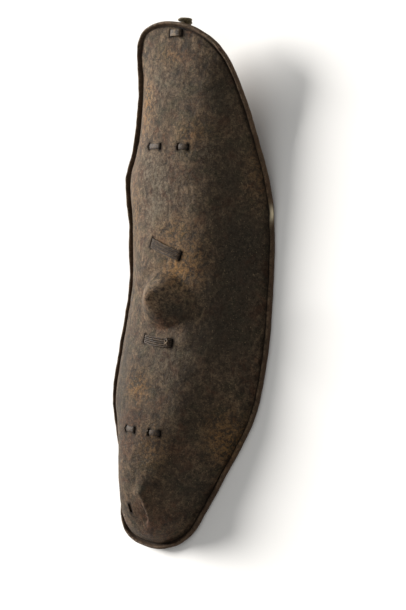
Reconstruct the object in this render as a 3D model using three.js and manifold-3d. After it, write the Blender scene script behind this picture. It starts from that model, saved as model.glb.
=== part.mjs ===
// A long oval shield, cut from one thick hide and moulded while wet. It lies on its rim, front up.
// +X is the right side as seen from the front, +Y the top end and +Z the front. Millimetres.
import * as THREE from "three";
import { mergeVertices } from "three/addons/utils/BufferGeometryUtils.js";
import Module from "manifold-3d";

// The body
const LENGTH = 1056; // from the toe to the top, over the rim
const WIDTH = 390; // the width that the stations below are shares of
const DEPTH = 114; // from the floor to the crown line
const HIDE = 7; // thickness of the hide
const GAP = 0.3; // between pieces that touch

// The rim, turned outwards and rolled up into a bead
const GUTTER = 5; // width of the groove between the body and the bead
const BEAD_WIDTH = 8.5;
const BEAD_HEIGHT = 12; // from the rim's underside to the top of the bead

// The boss and its knob
const BOSS_RADIUS = 61;
const BOSS_HEIGHT = 43; // over the crown line
const BOSS_FULLNESS = 1.5; // less is a rounder dome with a tighter foot
const BOSS_PLACE = -0.021; // along the length, as a share of it
const KNOB_RADIUS = 16;
const KNOB_HEIGHT = 8; // over the top of the boss
const PART_CLEAR = 6.5; // from the foot of the boss to where the hide is parted

// The wooden stave behind the crown line
const STAVE_RADIUS = 9;
const STAVE_LOW_PLACE = -0.385; // its lower end, along the length
const STAVE_PROUD = 6; // how far its upper end stands out past the rim
const STAVE_LEAN = 20; // how far its upper end lies to the right of the crown line
const STAVE_HEAD_RADIUS = 13; // of the end that stands out
const STAVE_HEAD_RISE = 8; // how far that end reaches up over the rim
const STAVE_HEAD_STRETCH = 1.2; // it is wider than high

// The thongs
const STRAP_WIDTH = 13; // the flat thongs of the lashings
const STRAP_THICK = 3;
const STRAND_RADIUS = 2.3; // the twisted thong of the two grip bands
const STRAND_PITCH = 4; // from one turn of it to the next
const SLIT_CLEAR = 1.5; // on each side of a thong, where it goes through the hide
const STAND_OFF = 0.8; // of a thong over the hide
const THONG_CORNER = 2.5; // where it turns down into a slit

// The grip bands, above and below the boss
const UPPER_BAND_CLEAR = 38; // from the foot of the boss to the middle of the band
const UPPER_BAND_SPAN = 80; // from slit to slit
const UPPER_BAND_TURNS = 5;
const UPPER_BAND_TILT = -17; // degrees, down to the right
const LOWER_BAND_CLEAR = 21;
const LOWER_BAND_SPAN = 72;
const LOWER_BAND_TURNS = 4;
const LOWER_BAND_TILT = -3;

// The stitches of the two long lashings: from the stave to the inner slit, and on to the outer slit
const UPPER_STITCHES = { left: { clear: 11, length: 35 }, right: { clear: 16, length: 23 } };
const LOWER_STITCHES = { left: { clear: 6, length: 28 }, right: { clear: 13, length: 24 } };

// Places of the lashings, along the length
const TOP_PLACE = 0.4765;
const TOP_SHIFT = 2; // of the top slits to the left of the stave
const TOP_SLACK = 3.2; // of the top strap around the slanting stave
const UPPER_PLACE = 0.264;
const LOWER_PLACE = -0.27;
const EMPTY_PLACE = -0.419;
const EMPTY_SHIFT = -40; // from the crown line
const EMPTY_LENGTH = 19; // the slit at the toe, whose lashing is lost
const EMPTY_WIDTH = 8;

// Stations from the toe to the top. Shares: place of the length, half width of half the width, bow of
// the crown line and skew of the outline of the width, height of the rim and of the crown of the depth.
const STATIONS = [
  [-0.5, 0, 0.074, -0.1, 0.07, 0.7],
  [-0.49, 0.29, 0.078, -0.12, 0.05, 0.75],
  [-0.458, 0.49, 0.066, -0.095, 0.02, 0.89],
  [-0.408, 0.59, 0.02, -0.02, 0, 0.97],
  [-0.323, 0.76, 0.036, 0, 0, 1],
  [-0.228, 0.96, 0.054, 0.006, 0, 0.98],
  [-0.114, 0.992, 0.08, 0.009, 0, 0.93],
  [0, 0.964, 0.08, 0.021, 0, 0.91],
  [0.114, 0.982, 0.068, 0.001, 0, 0.93],
  [0.204, 0.975, 0.058, -0.018, 0.1, 0.98],
  [0.285, 0.835, 0.048, 0.004, 0.28, 1],
  [0.38, 0.69, 0.036, 0.01, 0.54, 1],
  [0.446, 0.58, 0.026, -0.011, 0.76, 1.01],
  [0.486, 0.36, 0.02, -0.038, 0.92, 1.02],
  [0.5, 0, 0.018, -0.058, 0.97, 1.02],
];
const LAST = STATIONS.length - 1;
// The ridge at the right of the flattened toe: x and y as shares of the width and length
const TOE_RIDGE = [
  [0.052, -0.39],
  [0.105, -0.418],
  [0.105, -0.458],
  [0.028, -0.489],
];
const TOE_RIDGE_WIDTH = 13;
const TOE_RIDGE_HEIGHT = 4.5;
const SPINE_SHARE = 0.87; // the crown line ends at this share of the way to each tip
const SHOULDER = 2.4; // power of the cross-section: 2 is a parabola, more is a fuller shoulder

// Facets
const ROW_STEP = 36; // along the outline
const BOSS_STEP = 11.5; // the same beside the boss
const TIP_STEP = 21; // the same around the toe and the top
const TIP_SHARE = 0.46; // of the length, where the tips begin
const RINGS = [0, 0.065, 0.13, 0.195, 0.26, 0.33, 0.42, 0.54, 0.66, 0.78, 0.9, 1];
const INNER_RINGS = [11, 9, 7, 5, 4, 3, 2, 1, 0]; // which of those rings the inner side has
const STAVE_STEP = 40;
const STAVE_SIDES = 10;
const STRAND_SIDES = 5;
const KNOB_SIDES = 12;
const TURN_STEP = 0.7; // radians, of a thong around the stave

const wasm = await Module();
wasm.setup();

function lerp(a, b, share) {
  return a + (b - a) * share;
}

// Catmull-Rom curve through b and c
function through(a, b, c, d, f) {
  const square = 2 * a - 5 * b + 4 * c - d;
  const cube = 3 * b - a - 3 * c + d;
  return 0.5 * (2 * b + (c - a) * f + square * f * f + cube * f * f * f);
}

// The station row k; past each tip it is mirrored, with the half width turned negative.
function stationRow(k) {
  if (k >= 0 && k <= LAST) {
    return STATIONS[k];
  }
  const row = [...STATIONS[k < 0 ? 1 : LAST - 1]];
  row[1] = -row[1];
  return row;
}

function station(t) {
  const i = Math.min(Math.floor(t), LAST - 1);
  const rows = [stationRow(i - 1), stationRow(i), stationRow(i + 1), stationRow(i + 2)];
  const [along, half, bow, skew, rim, crown] = rows[0].map((_, column) =>
    through(...rows.map((row) => row[column]), t - i),
  );
  return {
    y: along * LENGTH,
    half: (half * WIDTH) / 2,
    crownX: bow * WIDTH,
    rimX: (bow + skew) * WIDTH,
    rimZ: Math.max(0, rim) * DEPTH,
    crownZ: crown * DEPTH,
  };
}

// The outline runs anticlockwise: u is 0 at the toe, LAST at the top and 2 * LAST back at the toe.
function sideOf(u) {
  const turn = 2 * LAST;
  const v = ((u % turn) + turn) % turn;
  return v <= LAST ? { t: v, side: 1 } : { t: turn - v, side: -1 };
}

function outline(u) {
  const { t, side } = sideOf(u);
  const s = station(t);
  return new THREE.Vector2(s.rimX + side * s.half, s.y);
}

function outward(u) {
  const step = 0.01;
  const along = outline(u + step).sub(outline(u - step)).normalize();
  return new THREE.Vector2(along.y, -along.x);
}

// Where the crown line passes the height y of the plan
function crownAt(y) {
  let low = 0;
  let high = LAST;
  for (let i = 0; i < 40; i += 1) {
    const middle = (low + high) / 2;
    if (station(middle).y * SPINE_SHARE < y) {
      low = middle;
    } else {
      high = middle;
    }
  }
  return station(low);
}

const BOSS_Y = BOSS_PLACE * LENGTH;
const BOSS_X = crownAt(BOSS_Y).crownX;

function bossHeight(x, y) {
  const share = Math.min(1, Math.hypot(x - BOSS_X, y - BOSS_Y) / BOSS_RADIUS);
  const dome = (1 - share * share) ** BOSS_FULLNESS;
  return BOSS_HEIGHT * dome * (1 - 0.15 * share);
}

const toeRidge = TOE_RIDGE.map(([x, y]) => new THREE.Vector2(x * WIDTH, y * LENGTH));

// How far the toe's ridge lifts the outer side
function ridgeHeight(x, y) {
  const place = new THREE.Vector2(x, y);
  const away = toeRidge.slice(1).map((end, k) => {
    const start = toeRidge[k];
    const step = end.clone().sub(start);
    const share = place.clone().sub(start).dot(step) / step.lengthSq();
    const nearest = start.clone().addScaledVector(step, THREE.MathUtils.clamp(share, 0, 1));
    return nearest.distanceTo(place);
  });
  return TOE_RIDGE_HEIGHT * Math.exp(-((Math.min(...away) / TOE_RIDGE_WIDTH) ** 2));
}

// A point of the outer side: share 0 is on the crown line, 1 at the foot of the body, by the gutter.
function bodyPoint(u, share) {
  const s = station(sideOf(u).t);
  const foot = outline(u).addScaledVector(outward(u), -(BEAD_WIDTH + GUTTER));
  const x = lerp(s.crownX, foot.x, share);
  const y = lerp(s.y * SPINE_SHARE, foot.y, share);
  const footZ = s.rimZ + HIDE;
  const z = lerp(s.crownZ, footZ, share ** SHOULDER);
  return new THREE.Vector3(x, y, z + bossHeight(x, y) + ridgeHeight(x, y));
}

// The rim's section from the gutter over the bead and under to the inner side: how far in from the
// edge, and how high over the underside.
const RIM_SECTION = [
  [BEAD_WIDTH + GUTTER * 0.5, HIDE * 0.88],
  [BEAD_WIDTH, HIDE],
  [BEAD_WIDTH * 0.72, BEAD_HEIGHT * 0.95],
  [BEAD_WIDTH * 0.4, BEAD_HEIGHT],
  [BEAD_WIDTH * 0.1, BEAD_HEIGHT * 0.8],
  [0, BEAD_HEIGHT * 0.4],
  [BEAD_WIDTH * 0.2, 0],
  [BEAD_WIDTH + GUTTER + 2, 0],
];
const UNDERSIDE_FROM = 6; // the rings of the section that face the floor start here

function rimPoint(u, [inset, height]) {
  const place = outline(u).addScaledVector(outward(u), -inset);
  return new THREE.Vector3(place.x, place.y, station(sideOf(u).t).rimZ + height);
}

// Places around the outline, closer together at the tips and beside the boss, the same on both sides
function ringPlaces() {
  const right = [];
  const small = 0.01;
  let u = 0;
  while (u < LAST) {
    right.push(u);
    const place = outline(u);
    const speed = place.distanceTo(outline(u + small)) / small;
    let step = ROW_STEP;
    if (Math.abs(place.y - BOSS_Y) < BOSS_RADIUS + BOSS_STEP) {
      step = BOSS_STEP;
    } else if (Math.abs(place.y) > TIP_SHARE * LENGTH) {
      step = TIP_STEP;
    }
    u += step / speed;
  }
  const places = right.map((place) => (place * LAST) / u);
  const left = places.slice(1).reverse().map((place) => 2 * LAST - place);
  return [...places, LAST, ...left];
}

// Triangles between two closed rings of vertex numbers
function stitch(near, far) {
  return near.flatMap((a, k) => {
    const next = (k + 1) % near.length;
    return [
      [a, far[k], far[next]],
      [a, far[next], near[next]],
    ];
  });
}

function geometryOf(points, triangles) {
  const geometry = new THREE.BufferGeometry();
  const flat = points.flatMap((p) => [p.x, p.y, p.z]);
  geometry.setAttribute("position", new THREE.Float32BufferAttribute(flat, 3));
  geometry.setIndex(triangles.flat());
  return geometry;
}

// The body's two sides share the crown line's points, so ring 0 runs up it and back down.
function hideSkins() {
  const places = ringPlaces();
  const count = places.length;
  const points = [];
  const crownRing = (start) =>
    places.map((_, k) => start + Math.min(k, count - k));
  const fullRing = (start) => places.map((_, k) => start + k);
  const addRing = (made) => {
    const start = points.length;
    points.push(...made);
    return fullRing(start);
  };

  const outer = RINGS.map((share, r) => {
    if (r > 0) {
      return addRing(places.map((u) => bodyPoint(u, share)));
    }
    places.slice(0, count / 2 + 1).forEach((u) => points.push(bodyPoint(u, 0)));
    return crownRing(0);
  });
  const outerFaces = outer.slice(1).flatMap((ring, r) => stitch(outer[r], ring));

  const skin = geometryOf(points, outerFaces);
  skin.computeVertexNormals();
  const normals = skin.getAttribute("normal");
  const inward = (index) =>
    new THREE.Vector3().fromBufferAttribute(normals, index).multiplyScalar(-HIDE).add(points[index]);

  const rim = RIM_SECTION.map((corner) => addRing(places.map((u) => rimPoint(u, corner))));
  const inner = INNER_RINGS.map((r) => {
    if (r > 0) {
      return addRing(outer[r].map(inward));
    }
    const start = points.length;
    outer[0].slice(0, count / 2 + 1).forEach((index) => points.push(inward(index)));
    return crownRing(start);
  });

  const rings = [outer.at(-1), ...rim, ...inner];
  const rest = rings.slice(1).map((ring, r) => stitch(rings[r], ring));
  return {
    points,
    outerFaces,
    underFaces: rest.slice(UNDERSIDE_FROM + 1).flat(),
    faces: [...outerFaces, ...rest.flat()],
  };
}

// The height of a skin over the plan, or null beside it
function heightOn(points, faces, x, y) {
  let found = null;
  for (const [i, j, k] of faces) {
    const a = points[i];
    const b = points[j];
    const c = points[k];
    const area = (b.x - a.x) * (c.y - a.y) - (c.x - a.x) * (b.y - a.y);
    if (Math.abs(area) > 1e-9) {
      const q = ((x - a.x) * (c.y - a.y) - (c.x - a.x) * (y - a.y)) / area;
      const r = ((b.x - a.x) * (y - a.y) - (x - a.x) * (b.y - a.y)) / area;
      if (q >= -1e-9 && r >= -1e-9 && q + r <= 1 + 1e-9) {
        const z = a.z + q * (b.z - a.z) + r * (c.z - a.z);
        found = found === null ? z : Math.min(found, z);
      }
    }
  }
  return found;
}

function toManifold(geometry) {
  const bare = geometry.clone();
  bare.deleteAttribute("normal");
  bare.deleteAttribute("uv");
  const merged = mergeVertices(bare, 1e-4);
  const vertProperties = new Float32Array(merged.getAttribute("position").array);
  const triVerts = new Uint32Array(merged.getIndex().array);
  return new wasm.Manifold(new wasm.Mesh({ numProp: 3, vertProperties, triVerts }));
}

function fromManifold(solid) {
  const mesh = solid.getMesh();
  const geometry = new THREE.BufferGeometry();
  geometry.setAttribute("position", new THREE.Float32BufferAttribute(mesh.vertProperties, 3));
  geometry.setIndex([...mesh.triVerts]);
  return geometry;
}

const skins = hideSkins();
const outerZ = (x, y) => heightOn(skins.points, skins.outerFaces, x, y);
const underZ = (x, y) => heightOn(skins.points, skins.underFaces, x, y);

// A lashing works in an upright plane across the shield: u runs along it, v across it in the plan.
class Lashing {
  constructor(y, tilt, offset = 0) {
    this.x = crownAt(y).crownX + offset;
    this.y = y;
    this.tilt = tilt;
  }

  plan(u, v) {
    const cos = Math.cos(this.tilt);
    const sin = Math.sin(this.tilt);
    return { x: this.x + u * cos - v * sin, y: this.y + u * sin + v * cos };
  }

  point(u, v, z) {
    const { x, y } = this.plan(u, v);
    return new THREE.Vector3(x, y, z);
  }

  outer(u, v) {
    const { x, y } = this.plan(u, v);
    return outerZ(x, y);
  }

  under(u, v) {
    const { x, y } = this.plan(u, v);
    return underZ(x, y);
  }

  // The box that cuts a slit of this width along u and length along v
  slit(u, width, length) {
    const high = this.outer(u, 0) + 2 * HIDE;
    const low = this.under(u, 0) - 2 * HIDE;
    const box = new THREE.BoxGeometry(width, length, high - low);
    box.rotateZ(this.tilt);
    const centre = this.point(u, 0, (high + low) / 2);
    box.translate(centre.x, centre.y, centre.z);
    return box;
  }

  // Over the hide from one slit to another, with the corners cut
  over(from, to, v, lift) {
    const corner = THONG_CORNER * Math.sign(to - from);
    const shares = [0, 0.33, 0.67, 1];
    const top = shares.map((share) => {
      const u = lerp(from + corner, to - corner, share);
      return this.point(u, v, this.outer(u, v) + lift);
    });
    return [
      this.point(from, v, this.outer(from, v) + lift - THONG_CORNER),
      ...top,
      this.point(to, v, this.outer(to, v) + lift - THONG_CORNER),
    ];
  }
}

// A closed loop of thong: the section, as offsets in the plane of the path and across it, is carried
// along the path with mitred corners.
function thongLoop(path, across, section) {
  const points = [];
  const rings = path.map((place, k) => {
    const before = place.clone().sub(path.at(k - 1)).normalize();
    const after = path[(k + 1) % path.length].clone().sub(place).normalize();
    const along = before.clone().add(after).normalize();
    const normal = new THREE.Vector3().crossVectors(across, along);
    const mitre = 1 / Math.max(0.6, along.dot(after));
    const start = points.length;
    section.forEach(([n, v]) => {
      points.push(place.clone().addScaledVector(normal, n * mitre).addScaledVector(across, v));
    });
    return section.map((_, i) => start + i);
  });
  const faces = rings.flatMap((ring, k) => stitch(ring, rings[(k + 1) % rings.length]));
  return geometryOf(points, faces);
}

const STRAP_SECTION = [
  [-STRAP_THICK / 2, -STRAP_WIDTH / 2],
  [-STRAP_THICK / 2, STRAP_WIDTH / 2],
  [STRAP_THICK / 2, STRAP_WIDTH / 2],
  [STRAP_THICK / 2, -STRAP_WIDTH / 2],
];
const STRAND_SECTION = Array.from({ length: STRAND_SIDES }, (_, i) => {
  const angle = (-2 * Math.PI * i) / STRAND_SIDES;
  return [STRAND_RADIUS * Math.cos(angle), STRAND_RADIUS * Math.sin(angle)];
});

// The stave's centre height at y: against the inner side of the hide, as the stave's round back allows
function staveSeat(x, y) {
  const shares = [-1, -0.7, -0.35, 0, 0.35, 0.7, 1];
  const heights = shares.map((share) => {
    const z = underZ(x + share * STAVE_RADIUS, y);
    return z === null ? Infinity : z - STAVE_RADIUS * Math.sqrt(1 - share * share);
  });
  return Math.min(...heights) - GAP - STAND_OFF;
}

const STAVE_LOW = STAVE_LOW_PLACE * LENGTH;
const STAVE_HIGH = LENGTH / 2 + STAVE_PROUD;
const LEAN_FROM = 0.85; // share of the half length from which the stave leans to the right
const STRAIGHT_BELOW = -0.3; // below this share of the length the stave runs straight on
const HOLD_REACH = 125; // from the middle of the boss, along the stave
const HOLD_BLEND = 120;
const HOLD_DROP = 1; // below the hide beside the boss

// 0 where the hand holds the stave, 1 where it follows the crown line again
function followsCrown(y) {
  return THREE.MathUtils.smoothstep(Math.abs(y - BOSS_Y) - HOLD_REACH, 0, HOLD_BLEND);
}

function staveX(y) {
  const crown = crownAt(Math.max(y, STRAIGHT_BELOW * LENGTH)).crownX;
  const x = lerp(BOSS_X, crown, followsCrown(y));
  const from = (LEAN_FROM * LENGTH) / 2;
  const share = Math.max(0, (y - from) / (STAVE_HIGH - from));
  return x + STAVE_LEAN * share * share;
}

// The stave runs straight across the hollow of the boss and past the rim.
const HOLD_LOW = BOSS_Y - BOSS_RADIUS - HIDE;
const HOLD_HIGH = BOSS_Y + BOSS_RADIUS + HIDE;
const HOLD_Z = [HOLD_LOW, HOLD_HIGH].map((y) => staveSeat(staveX(y), y) - HOLD_DROP);

function stavePoint(y) {
  const held = lerp(HOLD_Z[0], HOLD_Z[1], (y - HOLD_LOW) / (HOLD_HIGH - HOLD_LOW));
  const top = Math.min(y, LENGTH / 2 - BEAD_WIDTH - GUTTER);
  const seat = staveSeat(staveX(top), top);
  return new THREE.Vector3(staveX(y), y, lerp(Math.min(held, seat), seat, followsCrown(y)));
}

function staveGeometry() {
  const steps = Math.round((STAVE_HIGH - STAVE_LOW) / STAVE_STEP);
  const bevel = STAVE_RADIUS * 0.35;
  const rimEdge = LENGTH / 2 + GAP;
  const ys = Array.from({ length: steps + 1 }, (_, k) => lerp(STAVE_LOW + bevel, rimEdge - GAP, k / steps));
  const stops = [
    [STAVE_LOW, STAVE_RADIUS * 0.6, 0],
    ...ys.map((y) => [y, STAVE_RADIUS, 0]),
    [rimEdge + bevel * 0.1, STAVE_RADIUS, 0],
    [rimEdge + bevel * 0.3, STAVE_HEAD_RADIUS, STAVE_HEAD_RISE],
    [STAVE_HIGH - bevel, STAVE_HEAD_RADIUS, STAVE_HEAD_RISE],
    [STAVE_HIGH, STAVE_HEAD_RADIUS * 0.6, STAVE_HEAD_RISE],
  ];
  const points = [];
  const rings = stops.map(([y, radius, rise]) => {
    const centre = stavePoint(y);
    const stretch = lerp(1, STAVE_HEAD_STRETCH, rise / STAVE_HEAD_RISE);
    const start = points.length;
    for (let i = 0; i < STAVE_SIDES; i += 1) {
      const angle = (-2 * Math.PI * i) / STAVE_SIDES;
      const across = radius * stretch * Math.sin(angle);
      points.push(new THREE.Vector3(across, 0, radius * Math.cos(angle) + rise).add(centre));
    }
    return Array.from({ length: STAVE_SIDES }, (_, i) => start + i);
  });
  const faces = rings.slice(1).flatMap((ring, k) => stitch(rings[k], ring));
  const last = rings.at(-1);
  for (let i = 1; i < STAVE_SIDES - 1; i += 1) {
    faces.push([rings[0][0], rings[0][i], rings[0][i + 1]]);
    faces.push([last[0], last[i + 1], last[i]]);
  }
  return geometryOf(points, faces);
}

// Behind the stave, from the slit at one side to the slit at the other: straight to where the thong
// touches the round, and around it
function behindStave(lashing, from, to, v, half, slack) {
  const { x, y } = lashing.plan(0, v);
  const centre = stavePoint(y);
  const middle = centre.x - x;
  const reach = STAVE_RADIUS + GAP + half + slack;
  const side = Math.sign(to - from);
  const slitZ = (u) => lashing.under(u, v) - HIDE * 0.1;
  const touch = (u) => {
    const aside = Math.abs(u - middle);
    const above = slitZ(u) - centre.z;
    return Math.atan2(above, aside) - Math.acos(Math.min(1, reach / Math.hypot(aside, above)));
  };
  const first = touch(from);
  const last = -Math.PI - touch(to);
  const steps = Math.ceil((first - last) / TURN_STEP);
  const round = Array.from({ length: steps + 1 }, (_, k) => {
    const angle = lerp(first, last, k / steps);
    return lashing.point(middle - side * reach * Math.cos(angle), v, centre.z + reach * Math.sin(angle));
  });
  return [lashing.point(from, v, slitZ(from)), ...round, lashing.point(to, v, slitZ(to))];
}

// A grip band: one thong wound side by side through two slits and round the stave
class GripBand extends Lashing {
  constructor(y, tilt, span, turns) {
    super(y, THREE.MathUtils.degToRad(tilt));
    this.reach = span / 2;
    this.turns = turns;
  }

  slits() {
    const length = (this.turns - 1) * STRAND_PITCH + 2 * (STRAND_RADIUS + SLIT_CLEAR);
    const width = 2 * (STRAND_RADIUS + SLIT_CLEAR);
    return [-this.reach, this.reach].map((u) => this.slit(u, width, length));
  }

  geometry() {
    const across = this.point(0, 1, 0).sub(this.point(0, 0, 0));
    const lift = STRAND_RADIUS + GAP + STAND_OFF;
    const strands = Array.from({ length: this.turns }, (_, k) => {
      const v = (k - (this.turns - 1) / 2) * STRAND_PITCH;
      const path = [
        ...this.over(-this.reach, this.reach, v, lift),
        ...behindStave(this, this.reach, -this.reach, v, STRAND_RADIUS, 2 * STAND_OFF),
      ];
      return toManifold(thongLoop(path, across, STRAND_SECTION));
    });
    return fromManifold(strands.reduce((whole, strand) => whole.add(strand)));
  }
}

// Two stitches, one on each side of the stave
class Stitching extends Lashing {
  constructor(y, { left, right }) {
    super(y, 0);
    const near = STAVE_RADIUS;
    this.left = [near + left.clear, near + left.clear + left.length];
    this.right = [near + right.clear, near + right.clear + right.length];
  }

  slits() {
    const width = STRAP_THICK + 2 * SLIT_CLEAR;
    const length = STRAP_WIDTH + 2 * SLIT_CLEAR;
    return [-this.left[1], -this.left[0], this.right[0], this.right[1]].map((u) => this.slit(u, width, length));
  }

  // Out and in at the left, behind the stave, out and in at the right, and back behind itself
  geometry() {
    const half = STRAP_THICK / 2;
    const lift = half + GAP + STAND_OFF;
    const back = STRAP_THICK + 2 * STAND_OFF;
    const path = [
      ...this.over(-this.left[1], -this.left[0], 0, lift),
      ...behindStave(this, -this.left[0], this.right[0], 0, half, STAND_OFF),
      ...this.over(this.right[0], this.right[1], 0, lift),
      ...behindStave(this, this.right[1], -this.left[1], 0, half, STAND_OFF + back),
    ];
    return thongLoop(path, new THREE.Vector3(0, 1, 0), STRAP_SECTION);
  }
}

// One turn of strap through two slits close beside the stave
class TopLashing extends Lashing {
  constructor(y) {
    super(y, 0, staveX(y) - crownAt(y).crownX);
    const reach = STAVE_RADIUS + GAP + STRAP_THICK / 2 + TOP_SLACK;
    this.left = -reach - TOP_SHIFT;
    this.right = reach - TOP_SHIFT;
  }

  slits() {
    const width = STRAP_THICK + 2 * SLIT_CLEAR;
    return [this.left, this.right].map((u) => this.slit(u, width, STRAP_WIDTH + 2 * SLIT_CLEAR));
  }

  geometry() {
    const half = STRAP_THICK / 2;
    const path = [
      ...this.over(this.left, this.right, 0, half + GAP + STAND_OFF),
      ...behindStave(this, this.right, this.left, 0, half, TOP_SLACK),
    ];
    return thongLoop(path, new THREE.Vector3(0, 1, 0), STRAP_SECTION);
  }
}

// The knob grows out of the top of the boss; its foot ends inside the wall.
function knobSolid() {
  const foot = -HIDE * 0.6;
  const profile = [
    [0, foot],
    [KNOB_RADIUS, foot],
    [KNOB_RADIUS, 0],
    [KNOB_RADIUS * 0.94, KNOB_HEIGHT * 0.45],
    [KNOB_RADIUS * 0.72, KNOB_HEIGHT * 0.82],
    [KNOB_RADIUS * 0.36, KNOB_HEIGHT],
    [0, KNOB_HEIGHT],
  ];
  const knob = new THREE.LatheGeometry(
    profile.map(([r, h]) => new THREE.Vector2(r, h)),
    KNOB_SIDES,
  );
  knob.rotateX(Math.PI / 2);
  const top = outerZ(BOSS_X, BOSS_Y);
  const shoulder = outerZ(BOSS_X + KNOB_RADIUS, BOSS_Y);
  knob.translate(BOSS_X, BOSS_Y, lerp(shoulder, top, 0.6));
  return toManifold(knob);
}

const upperBandY = BOSS_Y + BOSS_RADIUS + UPPER_BAND_CLEAR;
const lowerBandY = BOSS_Y - BOSS_RADIUS - LOWER_BAND_CLEAR;
const bands = {
  upper_grip_band: new GripBand(upperBandY, UPPER_BAND_TILT, UPPER_BAND_SPAN, UPPER_BAND_TURNS),
  lower_grip_band: new GripBand(lowerBandY, LOWER_BAND_TILT, LOWER_BAND_SPAN, LOWER_BAND_TURNS),
};
const straps = {
  top_lashing: new TopLashing(TOP_PLACE * LENGTH),
  upper_lashing: new Stitching(UPPER_PLACE * LENGTH, UPPER_STITCHES),
  lower_lashing: new Stitching(LOWER_PLACE * LENGTH, LOWER_STITCHES),
};

function hideSolid() {
  const empty = new Lashing(EMPTY_PLACE * LENGTH, 0, EMPTY_SHIFT);
  const cuts = [
    ...Object.values(bands).flatMap((band) => band.slits()),
    ...Object.values(straps).flatMap((strap) => strap.slits()),
    empty.slit(0, EMPTY_WIDTH, EMPTY_LENGTH),
  ];
  const body = toManifold(geometryOf(skins.points, skins.faces)).add(knobSolid());
  return cuts.reduce((solid, box) => solid.subtract(toManifold(box)), body);
}

// The length of a solid from one place to another
function lengthOf(solid, from, to) {
  const reach = WIDTH + DEPTH;
  const box = new THREE.BoxGeometry(2 * reach, to - from, 2 * reach);
  box.translate(0, (from + to) / 2, 0);
  return fromManifold(solid.intersect(toManifold(box)));
}

// The hide is one; its solid is parted below and above the boss, so that its hollows stay open.
function hideLengths() {
  const whole = hideSolid();
  const reach = BOSS_RADIUS + PART_CLEAR;
  const half = GAP / 2;
  return {
    hide_lower: lengthOf(whole, -LENGTH, BOSS_Y - reach - half),
    hide_middle: lengthOf(whole, BOSS_Y - reach + half, BOSS_Y + reach - half),
    hide_upper: lengthOf(whole, BOSS_Y + reach + half, LENGTH),
  };
}

const hideFinish = new THREE.MeshStandardMaterial({ color: 0x5a4b3e, roughness: 0.62, metalness: 0 });
const thongFinish = new THREE.MeshStandardMaterial({ color: 0x4a3a2c, roughness: 0.7, metalness: 0 });
const staveFinish = new THREE.MeshStandardMaterial({ color: 0x5e5137, roughness: 0.75, metalness: 0 });

const shield = new THREE.Group();

function addPiece(name, geometry, finish) {
  const mesh = new THREE.Mesh(geometry, finish);
  mesh.name = name;
  shield.add(mesh);
}

for (const [name, geometry] of Object.entries(hideLengths())) {
  addPiece(name, geometry, hideFinish);
}
addPiece("grip_stave", staveGeometry(), staveFinish);
for (const [name, lashing] of Object.entries({ ...bands, ...straps })) {
  addPiece(name, lashing.geometry(), thongFinish);
}

// The origin is on the floor, under the middle of the whole.
const box = new THREE.Box3().setFromObject(shield);
const middle = box.getCenter(new THREE.Vector3());
shield.position.set(-middle.x, -middle.y, -box.min.z);

export default shield;
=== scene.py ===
"""Dresses the hide shield: one thick hide moulded into a long boat with a hollow boss and a rolled rim,
and thongs that hold a stave behind its crown line. It lies on its rim, front up.

Lengths are in metres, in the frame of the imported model: +X to the right, +Y to the top end, +Z out of
the front.
"""

import itertools
import logging
import math
from collections.abc import Iterable, Mapping, Sequence
from dataclasses import dataclass, field, replace
from enum import Enum
from functools import cached_property
from typing import NamedTuple

import bpy
import numpy as np
from mathutils import Matrix, Vector
from mathutils.bvhtree import BVHTree

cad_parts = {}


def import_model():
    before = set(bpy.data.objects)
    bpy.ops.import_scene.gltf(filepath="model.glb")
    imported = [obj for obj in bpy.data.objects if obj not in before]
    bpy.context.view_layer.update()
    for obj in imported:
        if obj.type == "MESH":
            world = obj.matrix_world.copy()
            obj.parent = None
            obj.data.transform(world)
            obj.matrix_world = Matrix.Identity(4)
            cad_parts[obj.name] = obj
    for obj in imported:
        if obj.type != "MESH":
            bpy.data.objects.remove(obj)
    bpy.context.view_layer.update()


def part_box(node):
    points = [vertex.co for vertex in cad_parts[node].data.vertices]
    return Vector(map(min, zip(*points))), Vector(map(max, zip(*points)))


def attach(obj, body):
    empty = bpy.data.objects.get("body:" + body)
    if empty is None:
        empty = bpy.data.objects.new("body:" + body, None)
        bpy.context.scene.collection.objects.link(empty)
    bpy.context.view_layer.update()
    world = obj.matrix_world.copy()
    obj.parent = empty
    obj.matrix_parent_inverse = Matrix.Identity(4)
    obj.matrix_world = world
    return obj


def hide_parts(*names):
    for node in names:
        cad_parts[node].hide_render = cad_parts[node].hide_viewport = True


log = logging.getLogger("shield")

BODY = "root"
HIDE_NODES = ("hide_lower", "hide_middle", "hide_upper")
SMALL = 1e-9
SHARP_ANGLE = math.radians(42)

# Places along the hide are shares of its length; lengths are in metres
TOP_PLACE = 0.4765
UPPER_BAND_CLEAR = 0.038  # from the boss's foot to the middle of the band
LOWER_BAND_CLEAR = 0.021
EMPTY_PLACE = -0.419
EMPTY_OFFSET = -0.04
EMPTY_SIZE = (0.0075, 0.019)
EMPTY_TURN = math.radians(8)
# Thong that lies low by the hide or under it is darkened: painted shade, with some grime.
GRIME_AND_SHADE_DEPTH = (-0.0028, 0.0005)  # under the hide's outer side
# Thong that stands highest over the hide is paler: wear, and a painted highlight.
WEAR_AND_HIGHLIGHT_HEIGHT = (0.0044, 0.007)  # over it

Plan = tuple[float, float]


# Geometry helpers


class MeshData(NamedTuple):
    """Points and the faces between them."""

    points: np.ndarray
    faces: list[list[int]]


def merged(parts: Iterable[MeshData]) -> MeshData:
    """Several meshes as one, still separate in space.

    Args:
        parts: The meshes.

    Returns:
        One mesh that holds them all.
    """
    points: list[np.ndarray] = []
    faces: list[list[int]] = []
    start = 0
    for part in parts:
        points.append(part.points)
        faces.extend([[index + start for index in face] for face in part.faces])
        start += len(part.points)
    return MeshData(np.vstack(points), faces)


def unit(vectors: np.ndarray) -> np.ndarray:
    """Each vector at length 1."""
    return vectors / np.maximum(np.linalg.norm(vectors, axis=-1, keepdims=True), SMALL)


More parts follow.
